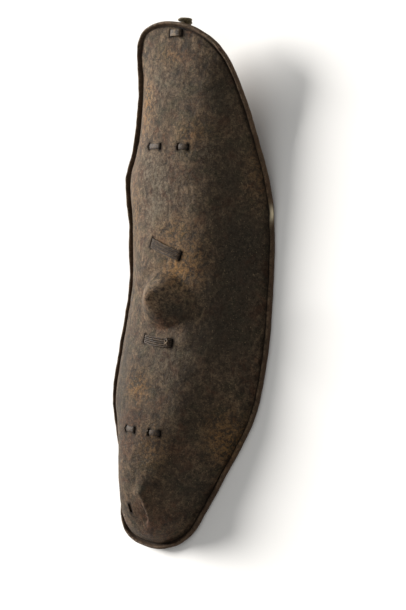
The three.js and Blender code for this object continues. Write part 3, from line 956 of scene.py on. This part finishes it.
@dataclass
class HideShell:
    """The hide: two sides, a rolled rim and the slits."""

    form: HideForm
    step: float = 0.0034
    boss_step: float = 0.002
    rings: int = 70
    inner_rings: int = 22
    rim_rounds: int = 2
    chip: Plan = (0.187, 0.161)
    loop: Plan = (-0.2, 0.22)
    stave_end: Plan = (0.012, 0.53)
    # A painted highlight on the boss: lighter colour there, with a polished coat.
    painted_highlight: Plan = (0.008, 0.006)
    marks: list[Crease | Ribs] = field(default_factory=list)

    def __post_init__(self) -> None:
        """Lists the marks that the surface carries."""
        boss = self.form.boss
        self.marks += [
            Crease(((-0.05, -0.402), (-0.024, -0.409), (0.0, -0.412)), 0.006, -0.0016),
            Crease(((0.026, -0.436), (0.03, -0.462), (0.024, -0.492), (0.004, -0.512)), 0.004, 0.0016),
            Ribs(((-0.014, -0.227), (-0.02, -0.307), (0.008, -0.402)), 0.026, 0.0068, 0.00045),
            Crease(arc(boss, 0.067, -62, 24), 0.0022, 0.0011),
            Crease(arc(boss, 0.0745, -50, 10), 0.002, 0.0008),
            Crease(arc(boss, 0.06, -75, -20), 0.002, 0.0007),
            Crease(arc(boss, 0.0165, 10, 100), 0.002, 0.0012),
            Crease(((0.055, 0.008), (0.085, 0.005)), 0.0016, 0.0006),
            Crease(((0.058, 0.001), (0.09, -0.003)), 0.0016, 0.0006),
            Crease(((0.09, -0.008), (0.14, -0.02)), 0.0022, 0.0005),
            Crease(((0.1, -0.02), (0.15, -0.034)), 0.0022, 0.0005),
            Crease(((0.045, 0.217), (0.052, 0.19), (0.06, 0.159)), 0.0022, 0.0007),
            Crease(((0.115, 0.13), (0.124, 0.115), (0.121, 0.1)), 0.0024, 0.0009),
            Crease(((0.148, 0.198), (0.17, 0.198)), 0.0022, 0.0012),
            Crease(((0.176, -0.16), (0.176, -0.12), (0.172, -0.06), (0.18, 0.02)), 0.003, 0.0012),
            Crease(((0.166, -0.2), (0.165, -0.14), (0.162, -0.09)), 0.003, 0.0009),
            Crease(((-0.008, 0.048), (-0.05, 0.035), (-0.103, -0.012)), 0.012, -0.0016),
        ]

    def relief(self, points: np.ndarray) -> np.ndarray:
        """How far the outer side departs from the plain form."""
        rise = 0.0016 * SmoothNoise(3, 0.09)(points)
        rise += 0.001 * SmoothNoise(4, 0.034)(points)
        rise += 0.0005 * SmoothNoise(5, 0.014)(points)
        for mark in self.marks:
            rise += mark.rise(points[:, :2])
        return rise

    def places(self) -> np.ndarray:
        """Places around the outline, closer together beside the boss, the same on both sides."""
        fine = np.linspace(0, LAST, 8001)
        edge = self.form.outline(fine)
        length = np.linalg.norm(np.diff(edge, axis=0), axis=1)
        middle = (edge[1:, 1] + edge[:-1, 1]) / 2
        beside = np.abs(middle - self.form.boss[1]) < self.form.boss_radius * 1.1
        steps = np.concatenate([[0], np.cumsum(length / np.where(beside, self.boss_step, self.step))])
        right = np.interp(np.linspace(0, steps[-1], round(steps[-1]) + 1), steps, fine)
        return np.concatenate([right, (2 * LAST - right[1:-1])[::-1]])

    def _skin(self, places: np.ndarray, shares: np.ndarray) -> tuple[np.ndarray, list[np.ndarray]]:
        """The outer side's points and its rings, of which the first runs up the crown line and back."""
        count = len(places)
        half = count // 2 + 1
        crown = self.form.body(places[:half], np.zeros(half))
        outer = [self.form.body(places, np.full(count, share)) for share in shares[1:]]
        turn = np.arange(count)
        first = np.minimum(turn, count - turn)
        rings = [first] + [half + k * count + turn for k in range(len(outer))]
        return np.vstack([crown, *outer]), rings

    def _rim(self, places: np.ndarray) -> list[np.ndarray]:
        """The rings of the rolled rim, uneven as it was rolled by hand."""
        form = self.form
        profile = np.column_stack([form.rim_profile(), np.zeros(9)])
        profile = corners_cut(profile, self.rim_rounds - 1, False)[1:, :2]
        edge, outward = form.outline(places), form.outward(places)
        rim_z = form.section(form.side_of(places)[0]).rim_z
        spot = np.column_stack([edge, rim_z])
        wave = 0.0009 * SmoothNoise(11, 0.045)(spot) + 0.0006 * SmoothNoise(12, 0.016)(spot)
        swell = 1 + 0.12 * SmoothNoise(13, 0.03)(spot) + 0.08 * SmoothNoise(14, 0.011)(spot)
        swell -= 0.3 * bell(np.linalg.norm(edge - np.array(self.chip), axis=1), 0.012)
        swell += 0.22 * bell(np.linalg.norm(edge - np.array(self.stave_end), axis=1), 0.016)
        out = wave + 0.002 * bell(np.linalg.norm(edge - np.array(self.loop), axis=1), 0.014)
        made = []
        for inset, height in profile:
            free = 1 - smoothstep(np.array(inset), form.bead_width, form.bead_width + form.gutter)
            plan = edge - outward * (inset - out * free)[:, None]
            made.append(np.column_stack([plan, rim_z + height * (1 + (swell - 1) * free)]))
        return made

    def build_sides(self) -> tuple[MeshData, HideSurface]:
        """The closed hide before its slits are cut, and a way to find its sides."""
        places = self.places()
        count = len(places)
        even = np.linspace(0, 1, self.rings + 1)
        shares = even * (0.62 + 0.66 * even - 0.28 * even**2)
        points, rings = self._skin(places, shares)
        faces = np.vstack([stitch(a, b) for a, b in itertools.pairwise(rings)])
        normals = vertex_normals(points, faces)
        raised = points + normals * self.relief(points)[:, None]

        chosen = np.unique(np.round(np.linspace(self.rings, 0, self.inner_rings + 1)).astype(int))[::-1]
        inward = points - normals * self.form.thick
        inward[:, 2] = np.maximum(inward[:, 2], 0.0015)
        blocks = [raised]
        total = len(raised)
        loops: list[np.ndarray] = []
        for ring in self._rim(places):
            blocks.append(ring)
            loops.append(total + np.arange(count))
            total += count
        inner_loops = []
        for k in chosen:
            used = np.unique(rings[k])
            lookup = np.zeros(len(points), int)
            lookup[used] = total + np.arange(len(used))
            blocks.append(inward[used])
            inner_loops.append(lookup[rings[k]])
            total += len(used)
        chain = [rings[-1], *loops, *inner_loops]
        rest = [stitch(a, b) for a, b in itertools.pairwise(chain)]
        everything = np.vstack(blocks)
        inner_faces = np.vstack(rest[len(loops) - 3:])
        surface = HideSurface(
            MeshData(everything, faces.tolist()), MeshData(everything, inner_faces.tolist())
        )
        return MeshData(everything, np.vstack([faces, *rest]).tolist()), surface

    def masks(
        self, points: np.ndarray, normals: np.ndarray, slits: Sequence["Slit"]
    ) -> dict[str, np.ndarray]:
        """What the finish needs to know at each vertex.

        Args:
            points: The vertices.
            normals: Their normals.
            slits: The slits that were cut.

        Returns:
            Masks by name.
        """
        form = self.form
        plan = points[:, :2]
        u = np.linspace(0, 2 * LAST, 3000)
        edge = form.outline(u)
        rim_z = form.section(form.side_of(u)[0]).rim_z
        inset = np.full(len(points), 1.0)
        lift = np.zeros(len(points))
        for start in range(0, len(points), 4000):
            block = plan[start:start + 4000]
            away = np.linalg.norm(block[:, None] - edge[None], axis=2)
            nearest = away.argmin(axis=1)
            inset[start:start + 4000] = away[np.arange(len(block)), nearest]
            lift[start:start + 4000] = points[start:start + 4000, 2] - rim_z[nearest]
        beside = form.bead_width + form.gutter
        up = smoothstep(normals[:, 2], -0.2, 0.15)
        outer = np.where(inset > beside, up, 1.0)
        front = up * outer
        made = {}
        for name, patches in PATCHES.items():
            made[name] = np.clip(sum(patch.mask(plan) for patch in patches), 0, 1) * front
        # The gutter crease darkened as grime and painted shade, and the slits' edges darkened as painted
        # shade.
        gutter = bell(inset - form.bead_width - form.gutter * 0.45, form.gutter * 0.45) * front
        lips = np.zeros(len(points))
        for slit in slits:
            lips = np.maximum(lips, slit.closeness(plan))
        made["grime_and_shade"] = np.clip(gutter * 0.85 + lips * 0.8, 0, 1) * up
        # The rim's crest: wear, and a painted highlight along the top of the bead.
        crest = smoothstep(lift, form.bead_height * 0.75, form.bead_height) * (inset < form.bead_width)
        # Painted highlight on the boss, which also gets a polished coat.
        painted_highlight = bell(np.linalg.norm(plan - np.array(self.painted_highlight), axis=1), 0.009)
        # Wear on the boss, which also lifts its shaded face as painted light.
        worn = bell(np.linalg.norm(plan - np.array(form.boss), axis=1), form.boss_radius * 0.5)
        made["wear_and_highlight"] = np.clip(crest * 0.5 + painted_highlight + worn * 0.6, 0, 1) * up
        made["polish"] = painted_highlight * up
        # Painted shade towards the toe, for light that falls off towards the bottom.
        made["painted_toe_shade"] = (1 - smoothstep(plan[:, 1], -0.42, 0.22)) * up
        # Painted shade on the rim's bead, less on its crest.
        made["rim"] = (1 - smoothstep(inset, form.bead_width * 0.9, beside)) * (1 - crest * 0.7)
        made["inside"] = (1 - up) * (inset > form.bead_width * 0.6)
        chip = np.linalg.norm((plan - np.array(self.chip)) / np.array((0.006, 0.013)), axis=1)
        made["raw"] = bell(chip, 1.0) * up
        return made


@dataclass(frozen=True)
class Slit:
    """A slit through the hide: long across the thong that it is for."""

    x: float
    y: float
    turn: float
    width: float
    length: float
    ends: int = 6

    def outline(self) -> np.ndarray:
        """Its outline in the plan, with round ends."""
        radius = self.width / 2
        straight = self.length / 2 - radius
        half = [(radius * math.cos(a), straight + radius * math.sin(a))
                for a in np.linspace(0, math.pi, self.ends)]
        local = np.array(half + [(-x, -y) for x, y in half])
        cos, sin = math.cos(self.turn), math.sin(self.turn)
        return local @ np.array([[cos, sin], [-sin, cos]]) + np.array((self.x, self.y))

    def cutter(self, low: float, high: float) -> MeshData:
        """The upright block that cuts it."""
        plan = self.outline()
        count = len(plan)
        points = np.vstack([np.column_stack([plan, np.full(count, z)]) for z in (low, high)])
        bottom, top = np.arange(count), np.arange(count) + count
        faces = [[a, b, c, d] for a, d, c, b in stitch(bottom, top).tolist()]
        return MeshData(points, faces + [bottom[::-1].tolist(), top.tolist()])

    def closeness(self, plan: np.ndarray) -> np.ndarray:
        """1 in the slit, falling away over a few millimetres beside it."""
        cos, sin = math.cos(self.turn), math.sin(self.turn)
        local = (plan - np.array((self.x, self.y))) @ np.array([[cos, -sin], [sin, cos]])
        beyond = np.hypot(
            np.maximum(0, np.abs(local[:, 0]) - self.width / 2),
            np.maximum(0, np.abs(local[:, 1]) - self.length / 2),
        )
        return bell(beyond, 0.0028)


# The stave


@dataclass
class GripStave:
    """A peeled branch behind the crown line, with a thick end past the top rim."""

    form: HideForm
    surface: HideSurface
    radius: float = 0.009
    head_radius: float = 0.013
    head_rise: float = 0.008
    head_stretch: float = 1.2
    straight_below: float = -0.3
    low_place: float = -0.385
    proud: float = 0.006
    lean: float = 0.02
    lean_from: float = 0.85
    gap: float = 0.0011
    hold_reach: float = 0.125
    hold_blend: float = 0.12
    hold_drop: float = 0.001
    sides: int = 24
    step: float = 0.005
    knots: tuple[float, ...] = (-0.33, -0.17, 0.06, 0.21, 0.39)

    def follows_crown(self, y: float) -> float:
        """0 where the hand holds it, 1 where it follows the crown line again."""
        away = abs(y - self.form.boss[1]) - self.hold_reach
        return float(smoothstep(np.array(away), 0, self.hold_blend))

    def x_at(self, y: float) -> float:
        """Where the stave's middle passes y in the plan."""
        centre = self.form.origin[1]
        start = self.lean_from * self.form.length / 2
        share = max(0.0, (y - centre - start) / (self.form.length / 2 + self.proud - start))
        followed = max(y, self.straight_below * self.form.length + centre)
        crown, held = float(self.form.crown_at(followed).crown_x[0]), self.form.boss[0]
        return held + (crown - held) * self.follows_crown(y) + self.lean * share**2

    def seat(self, x: float, y: float) -> float:
        """Height of its middle where it lies against the hide's inner side."""
        shares = (-1, -0.7, -0.35, 0, 0.35, 0.7, 1)
        reach = self.radius
        heights = [self.surface.under(x + s * reach, y) - reach * math.sqrt(1 - s * s) for s in shares]
        return min(heights) - self.gap

    @cached_property
    def held(self) -> tuple[Plan, Plan]:
        """Places on both sides of the boss and the stave's height there, where it runs straight."""
        room = self.form.boss_radius + self.form.thick
        ends = (self.form.boss[1] - room, self.form.boss[1] + room)
        return ends, tuple(self.seat(self.x_at(y), y) - self.hold_drop for y in ends)

    def centre(self, y: float) -> np.ndarray:
        """The stave's middle at y; it runs straight across the hollow of the boss."""
        (low, high), (low_z, high_z) = self.held
        held = low_z + (high_z - low_z) * (y - low) / (high - low)
        top = self.form.length / 2 + self.form.origin[1] - self.form.bead_width - self.form.gutter
        seated = min(y, top)
        seat = self.seat(self.x_at(seated), seated)
        straight = min(held, seat)
        return np.array((self.x_at(y), y, straight + (seat - straight) * self.follows_crown(y)))

    def build(self) -> MeshData:
        """The branch, with its knots and its rough end."""
        middle = self.form.origin[1]
        half = self.form.length / 2
        start = middle + self.low_place * self.form.length
        rim = middle + half
        end = rim + self.proud
        ys = np.concatenate([
            start + np.array((0, 0.0006, 0.002)),
            np.linspace(start + 0.0045, rim - 0.001, round((rim - start) / self.step)),
            rim + np.array((0.0006, 0.002, 0.0035, 0.0048, 0.0056)),
            [end],
        ])
        radii = np.interp(
            ys,
            [
                start, start + 0.0006, start + 0.0045,
                rim - 0.004, rim + 0.0006, rim + 0.0035, end - 0.0004, end,
            ],
            np.array((0.45, 0.8, 1, 1, 1, 1, 1, 1)) * self.radius
            + (self.head_radius - self.radius) * np.array((0, 0, 0, 0, 0.9, 1, 0.55, -0.6)),
        )
        head = smoothstep(ys, rim - 0.0004, rim + 0.001)
        path = np.array([self.centre(y) for y in ys])
        kernel = np.array((1, 2, 3, 2, 1)) / 9
        padded = np.pad(path[:, 2], 2, mode="edge")
        path[:, 2] = np.minimum(path[:, 2], np.convolve(padded, kernel, "valid")) + self.head_rise * head
        angle = np.linspace(0, 2 * np.pi, self.sides, endpoint=False)
        ring = np.stack([np.sin(angle), 0 * angle, np.cos(angle)], axis=1)
        spot = path[:, None] + 0.02 * ring[None]
        bumps = SmoothNoise(21, 0.014)(spot.reshape(-1, 3)).reshape(len(ys), self.sides)
        bulge = np.ones_like(bumps) * radii[:, None]
        for k, place in enumerate(self.knots):
            side = np.maximum(0, np.cos(angle - 2.3 * k))
            bulge += 0.0009 * bell(ys - place, 0.006)[:, None] * side
        bulge -= 0.0006 * np.abs(bumps) * (1 + 1.5 * head[:, None])
        stretch = np.stack([1 + (self.head_stretch - 1) * head, head, np.ones_like(head)], axis=1)
        points = path[:, None] + bulge[..., None] * ring[None] * stretch[:, None]
        rings = np.arange(points.shape[0] * self.sides).reshape(-1, self.sides)
        faces = [row for near, far in itertools.pairwise(rings) for row in stitch(near, far).tolist()]
        faces += [rings[0].tolist(), rings[-1][::-1].tolist()]
        return MeshData(points.reshape(-1, 3), faces)


# The thongs


class Reach(NamedTuple):
    """From where to where a thong lies over the hide, along its lashing."""

    start: float
    end: float


@dataclass
class Lashing:
    """What all lashings share. A lashing works in an upright plane across the shield."""

    form: HideForm
    surface: HideSurface
    stave: GripStave
    place: float
    tilt: float = 0.0
    offset: float = 0.0
    corner: float = 0.0025
    stand_off: float = 0.0009

    @property
    def y(self) -> float:
        """Where it crosses the crown line."""
        return self.place * self.form.length + self.form.origin[1]

    @property
    def x(self) -> float:
        """The middle that its slits are measured from."""
        return float(self.form.crown_at(self.y).crown_x[0]) + self.offset

    def plan(self, u: float, v: float) -> Plan:
        """The plan's place at u along the lashing and v across it."""
        cos, sin = math.cos(self.tilt), math.sin(self.tilt)
        return self.x + u * cos - v * sin, self.y + u * sin + v * cos

    def point(self, u: float, v: float, z: float) -> tuple[float, float, float]:
        """A point at u, v and a height."""
        return (*self.plan(u, v), z)

    def slit(self, u: float, width: float, length: float) -> Slit:
        """The slit at u."""
        return Slit(*self.plan(u, 0), self.tilt, width, length)

    def over(self, reach: Reach, v: float, lift: float, arch: float = 0.0) -> list[tuple]:
        """The thong's middle over the hide, from one slit to the next.

        Args:
            reach: From where to where.
            v: How far across.
            lift: Over the hide.
            arch: How much further its middle stands off.

        Returns:
            Points, from inside one slit to inside the other.
        """
        side = self.corner * math.copysign(1, reach.end - reach.start)
        shares = np.linspace(0, 1, 9)
        top = []
        for share in shares:
            u = reach.start + side + share * (reach.end - reach.start - 2 * side)
            rise = lift + arch * 4 * share * (1 - share)
            top.append(self.point(u, v, self.surface.over(*self.plan(u, v)) + rise))
        ends = [self.point(u, v, self.surface.over(*self.plan(u, v)) + lift - self.corner * 1.4)
                for u in (reach.start, reach.end)]
        return [ends[0], *top, ends[1]]

    def behind(self, start: float, end: float, v: float, half: float, slack: float) -> list[tuple]:
        """The thong's middle behind the stave: straight to the round, around it, and on to the slit.

        Args:
            start: The slit that it comes from.
            end: The slit that it goes to.
            v: How far across.
            half: Half the thong's thickness.
            slack: How far it stands off the stave.

        Returns:
            Points from slit to slit.
        """
        x, y = self.plan(0, v)
        centre = self.stave.centre(y)
        middle = centre[0] - x
        reach = self.stave.radius + 0.0004 + half + slack
        side = math.copysign(1, end - start)

        def slit_z(u: float) -> float:
            """Just inside the slit."""
            return self.surface.under(*self.plan(u, v)) - 0.0005

        def touch(u: float) -> float:
            """The angle at which the thong from that slit meets the round."""
            aside, above = abs(u - middle), slit_z(u) - centre[2]
            return math.atan2(above, aside) - math.acos(min(1, reach / math.hypot(aside, above)))

        first, last = touch(start), -math.pi - touch(end)
        angles = np.linspace(first, last, 12)
        around = [
            self.point(middle - side * reach * math.cos(a), v, centre[2] + reach * math.sin(a))
            for a in angles
        ]
        return [self.point(start, v, slit_z(start)), *around, self.point(end, v, slit_z(end))]

    def across(self, count: int) -> np.ndarray:
        """The direction across the lashing, for each point of a path."""
        direction = (-math.sin(self.tilt), math.cos(self.tilt), 0.0)
        return np.tile(np.array(direction), (count, 1))

    def strand(self, path: Sequence[tuple], wide: float, thick: float, seed: int, closed: bool = True,
               curl: float = 0.0, twist: float = 0.0) -> MeshData:
        """One thong of an uneven oval section along a path.

        Args:
            path: Its middle.
            wide: Across.
            thick: Off the path.
            seed: Of its unevenness.
            closed: Whether it is a loop.
            curl: How far its edges curl off the path.
            twist: Turns over its whole length.

        Returns:
            Its mesh.
        """
        line = even_path(corners_cut(np.array(path), 2, closed), 0.0016, closed)
        count, corners = len(line), 14
        angle = np.linspace(0, -2 * np.pi, corners, endpoint=False)
        power = 0.75
        off = np.sign(np.cos(angle)) * np.abs(np.cos(angle)) ** power * thick / 2
        side = np.sign(np.sin(angle)) * np.abs(np.sin(angle)) ** power * wide / 2
        off = off + curl * (2 * side / wide) ** 2
        wave = SmoothNoise(seed, 0.012)(line)[:, None]
        fine = SmoothNoise(seed + 1, 0.004)(line)[:, None]
        scale = np.ones((count, 1))
        if not closed:
            share = np.linspace(0, 1, count)[:, None]
            scale = np.clip(np.minimum(share, 1 - share) * 9, 0.25, 1)
        sections = np.stack([
            off * scale * (1 + 0.12 * fine) + 0.0002 * fine,
            side * scale * (1 + 0.1 * wave) + 0.0005 * wave,
        ], axis=-1)
        turn = 2 * np.pi * twist * np.linspace(0, 1, count)[:, None]
        cos, sin = np.cos(turn), np.sin(turn)
        turned = np.stack([
            sections[..., 0] * cos - sections[..., 1] * sin,
            sections[..., 0] * sin + sections[..., 1] * cos,
        ], axis=-1)
        return swept(line, self.across(count), turned, closed)


@dataclass
class GripBand(Lashing):
    """One thong wound side by side through two slits and round the stave."""

    span: float = 0.08
    strands: int = 6
    pitch: float = 0.0031
    wide: float = 0.0027
    thick: float = 0.0025
    clear: float = 0.0015
    slit_width: float = 0.0066
    sag: float = 0.0
    knotted: bool = False

    def slits(self) -> list[Slit]:
        """The slits at its ends."""
        length = (self.strands - 1) * self.pitch + self.wide + 2 * self.clear
        return [self.slit(u, self.slit_width, length) for u in (-self.span / 2, self.span / 2)]

    def build(self) -> MeshData:
        """All its turns, and the knot at the right end."""
        parts = []
        half = self.span / 2
        for k in range(self.strands):
            v = (k - (self.strands - 1) / 2) * self.pitch
            lift = self.thick / 2 + self.stand_off - 0.0004 + 0.0008 * (k % 2)
            over = [
                (x, y - self.sag * (1 - (2 * n / 10 - 1) ** 2) * (1 - k / self.strands), z)
                for n, (x, y, z) in enumerate(self.over(Reach(-half, half), v, lift, 0.0016))
            ]
            path = over + self.behind(half, -half, v, self.thick / 2, 0.0016 + 0.0005 * (k % 2))
            parts.append(self.strand(path, self.wide, self.thick, 31 + 7 * k))
        if self.knotted:
            parts += self._knot(half * 0.72)
        return merged(parts)

    def _knot(self, u: float) -> list[MeshData]:
        """Two strands twisted over the others."""
        made = []
        reach = (self.strands - 1) * self.pitch / 2 + 0.003
        for side in (-1, 1):
            path = []
            for share in np.linspace(0, 1, 9):
                v = reach * (2 * share - 1)
                swing = side * 0.0034 * math.sin(2 * math.pi * share * 1.2)
                top = self.surface.over(*self.plan(u + swing, v)) + 0.0042
                path.append(self.point(u + swing, v, top - 0.0036 * abs(2 * share - 1) ** 3))
            line = np.array(path)
            made.append(self._cross_strand(line, 0.0034, 0.003, 90 + side))
        return made

    def _cross_strand(self, line: np.ndarray, wide: float, thick: float, seed: int) -> MeshData:
        """A short strand that runs across the lashing."""
        turned = replace(self, tilt=self.tilt + math.pi / 2)
        return Lashing.strand(turned, [tuple(p) for p in line], wide, thick, seed, False, 0.0, 0.6)


@dataclass
class Stitching(Lashing):
    """Two stitches of strap, one on each side of the stave, with a loose curled end."""

    left: Reach = Reach(0.02, 0.055)
    right: Reach = Reach(0.025, 0.048)
    wide: float = 0.011
    thick: float = 0.0022
    clear: float = 0.0019
    sunk: float = -0.0006

    def slits(self) -> list[Slit]:
        """The four slits."""
        places = (-self.left.end, -self.left.start, self.right.start, self.right.end)
        return [self.slit(u, self.thick + 2 * self.clear, self.wide + 2 * self.clear) for u in places]

    def build(self) -> MeshData:
        """The strap out and in at the left, behind the stave, out and in at the right, and back."""
        half = self.thick / 2
        lift = half + self.sunk
        path = [
            *self.over(Reach(-self.left.end, -self.left.start), 0, lift, 0.0012),
            *self.behind(-self.left.start, self.right.start, 0, half, 0.0009),
            *self.over(Reach(self.right.start, self.right.end), 0, lift, 0.0012),
            *self.behind(self.right.end, -self.left.end, 0, half, 0.0052),
        ]
        strap = self.strand(path, self.wide, self.thick, 51, curl=0.0007)
        return merged([strap, self._end(-self.left.end), self._end(self.right.start)])

    def _end(self, u: float) -> MeshData:
        """A loose end that comes out of a slit and curls over beside it."""
        foot = self.surface.over(*self.plan(u, 0))
        curl = [
            (0.0, 0.002, -0.004), (0.0, 0.0025, -0.001), (-0.001, 0.003, 0.0014), (-0.003, 0.0022, 0.0022),
            (-0.0042, 0.0, 0.0016), (-0.0036, -0.0024, 0.0012), (-0.0016, -0.0032, 0.0014),
        ]
        path = [self.point(u + du, dv, foot + dz) for du, dv, dz in curl]
        return self.strand(path, 0.0032, 0.0018, 71, False, 0.0, 0.25)


@dataclass
class TopLashing(Lashing):
    """One turn of strap through two slits close beside the stave."""

    wide: float = 0.0125
    thick: float = 0.0028
    clear: float = 0.0015
    slack: float = 0.0032
    shift: float = 0.002

    @property
    def reach(self) -> Reach:
        """The places of its slits."""
        half = self.stave.radius + 0.0018 + self.slack
        return Reach(-half - self.shift, half - self.shift)

    def slits(self) -> list[Slit]:
        """The two slits."""
        return [self.slit(u, self.thick + 2.6 * self.clear, self.wide + 2 * self.clear) for u in self.reach]

    def build(self) -> MeshData:
        """The closed turn."""
        half = self.thick / 2
        path = [
            *self.over(self.reach, 0, half + self.stand_off, 0.002),
            *self.behind(self.reach.end, self.reach.start, 0, half, self.slack),
        ]
        return self.strand(path, self.wide, self.thick, 61, curl=-0.0006)


# The studio


class Side(Enum):
    """Where a light stands, as the direction that it shines from."""

    KEY = (-0.89, 0.19, 0.41)


@dataclass(frozen=True)
class Studio:
    """Plain pale floor, soft light from the left and the camera at the photograph's angle."""

    aim: tuple[float, float, float] = (0.0385, -0.029, 0.018)
    distance: float = 3.2
    lean: float = math.radians(40)
    roll: float = math.radians(5.4)
    focal_mm: float = 94.43
    sensor_mm: float = 36
    floor_reach: float = 14.0
    key_strength: float = 6.6
    key_softness: float = math.radians(25)
    sky_strength: float = 0.41

    def camera(self) -> None:
        """Makes the camera."""
        data = bpy.data.cameras.new("camera")
        data.lens = self.focal_mm
        data.sensor_width = self.sensor_mm
        camera = bpy.data.objects.new("camera", data)
        back = Vector((math.sin(self.lean), 0, math.cos(self.lean)))
        level = Vector((math.cos(self.lean), 0, -math.sin(self.lean)))
        upward = Vector((0, 1, 0))
        right = level * math.cos(self.roll) + upward * math.sin(self.roll)
        top = upward * math.cos(self.roll) - level * math.sin(self.roll)
        turn = Matrix((right, top, back)).transposed()
        camera.matrix_world = Matrix.Translation(Vector(self.aim) + back * self.distance) @ turn.to_4x4()
        bpy.context.scene.collection.objects.link(camera)
        bpy.context.scene.camera = camera

    def light(self, name: str, side: Side, strength: float, softness: float, tint: tuple) -> None:
        """Makes one broad light.

        Args:
            name: Its name.
            side: Where it shines from.
            strength: How strong.
            softness: How wide it looks from the object, as an angle.
            tint: Its colour.
        """
        data = bpy.data.lights.new(name, "SUN")
        data.energy = strength
        data.angle = softness
        data.color = tint
        lamp = bpy.data.objects.new(name, data)
        lamp.rotation_mode = "QUATERNION"
        lamp.rotation_quaternion = Vector(side.value).to_track_quat("Z", "Y")
        bpy.context.scene.collection.objects.link(lamp)

    def floor(self) -> None:
        """Lays the floor."""
        reach = self.floor_reach
        corners = np.array([(x, y, 0.0) for x, y in ((-1, -1), (1, -1), (1, 1), (-1, 1))])
        floor = add_object("floor", MeshData(corners * reach, [[0, 1, 2, 3]]), FloorFinish().material())

    def build(self) -> None:
        """Sets everything up."""
        self.camera()
        self.floor()
        self.light("key", Side.KEY, self.key_strength, self.key_softness, (1.0, 0.97, 0.93))
        world = bpy.data.worlds.new("soft_room")
        world.use_nodes = True
        sky = world.node_tree.nodes["Background"]
        sky.inputs["Color"].default_value = (1.0, 0.99, 0.965, 1.0)
        sky.inputs["Strength"].default_value = self.sky_strength
        bpy.context.scene.world = world
        bpy.context.scene.view_settings.view_transform = "Standard"


def cut_slits(hide: bpy.types.Object, slits: Sequence[Slit], finish: bpy.types.Material) -> None:
    """Cuts the slits through the hide and applies the cut.

    Args:
        hide: The closed hide.
        slits: Where to cut.
        finish: The hide's finish.
    """
    cutter = add_object("slit_cutter", merged(slit.cutter(0.03, 0.2) for slit in slits), finish)
    cut = hide.modifiers.new("slits", "BOOLEAN")
    cut.operation = "DIFFERENCE"
    cut.solver = "MANIFOLD"
    cut.object = cutter
    graph = bpy.context.evaluated_depsgraph_get()
    done = bpy.data.meshes.new_from_object(hide.evaluated_get(graph))
    hide.modifiers.clear()
    hide.data = done
    bpy.data.objects.remove(cutter)
    done.shade_smooth()
    done.set_sharp_from_angle(angle=SHARP_ANGLE)


def plan_lashings(form: HideForm, surface: HideSurface, stave: GripStave) -> dict[str, Lashing]:
    """All lashings, in the order in which their slits are cut.

    Args:
        form: The hide's form.
        surface: Finds its sides.
        stave: What they hold.

    Returns:
        The lashings, by the node that each stands for.
    """
    shared = (form, surface, stave)
    foot = form.boss_radius / form.length
    above = form.boss_place + foot + UPPER_BAND_CLEAR / form.length
    below = form.boss_place - foot - LOWER_BAND_CLEAR / form.length
    top_y = TOP_PLACE * form.length + form.origin[1]
    beside = stave.x_at(top_y) - float(form.crown_at(top_y).crown_x[0])
    return {
        "top_lashing": TopLashing(*shared, TOP_PLACE, offset=beside),
        "upper_lashing": Stitching(*shared, 0.264, left=Reach(0.02, 0.055), right=Reach(0.025, 0.048)),
        "upper_grip_band": GripBand(*shared, above, math.radians(-17), sag=0.002),
        "lower_grip_band": GripBand(
            *shared, below, math.radians(-3), span=0.072, strands=5, sag=0.004, knotted=True
        ),
        "lower_lashing": Stitching(*shared, -0.27, left=Reach(0.015, 0.043), right=Reach(0.022, 0.046)),
    }


def dress_hide(shell: HideShell, sides: MeshData, slits: Sequence[Slit]) -> None:
    """Makes the one hide that stands for its three nodes.

    Args:
        shell: The hide.
        sides: Its closed mesh.
        slits: The slits through it.
    """
    finish = HideFinish().material()
    hide = add_object("moulded_hide", sides, finish)
    cut_slits(hide, slits, finish)
    normals = np.zeros(len(hide.data.vertices) * 3, np.float32)
    hide.data.vertices.foreach_get("normal", normals)
    paint(hide.data, shell.masks(vertex_array(hide.data), normals.reshape(-1, 3), slits))
    dress_over(hide, "hide", *HIDE_NODES)


def dress_lashing(node: str, lashing: Lashing, finish: bpy.types.Material) -> None:
    """Makes one lashing, darker where it lies low by the hide or goes under it, as grime and painted shade,
    and paler where it stands proud, as wear and painted highlight.

    Args:
        node: The node that it stands for.
        lashing: The lashing.
        finish: The thongs' finish.
    """
    piece = add_object(f"{node}_thong", lashing.build(), finish)
    points = vertex_array(piece.data)
    depth = np.array([lashing.surface.over(x, y) for x, y in points[:, :2]]) - points[:, 2]
    masks = {
        # Painted shade with some grime low by the hide, and wear with a painted highlight on the highest
        # parts.
        "grime_and_shade": smoothstep(depth, *GRIME_AND_SHADE_DEPTH),
        "wear_and_highlight": smoothstep(-depth, *WEAR_AND_HIGHLIGHT_HEIGHT),
    }
    paint(piece.data, masks)
    dress_over(piece, "thong", node)


def main() -> None:
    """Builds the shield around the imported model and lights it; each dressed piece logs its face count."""
    logging.basicConfig(level=logging.INFO, format="%(message)s")
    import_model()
    Studio().build()

    form = HideForm.from_frame()
    shell = HideShell(form)
    sides, surface = shell.build_sides()
    stave = GripStave(form, surface)
    lashings = plan_lashings(form, surface, stave)
    empty = Lashing(form, surface, stave, EMPTY_PLACE, offset=EMPTY_OFFSET)
    slits = [slit for lashing in lashings.values() for slit in lashing.slits()]
    slits.append(replace(empty.slit(0, *EMPTY_SIZE), turn=EMPTY_TURN))

    dress_hide(shell, sides, slits)
    branch = add_object("peeled_stave", stave.build(), StaveFinish().material())
    dress_over(branch, "stave_wood", "grip_stave")
    thong_finish = ThongFinish().material()
    for node, lashing in lashings.items():
        dress_lashing(node, lashing, thong_finish)


if __name__ == "__main__":
    main()
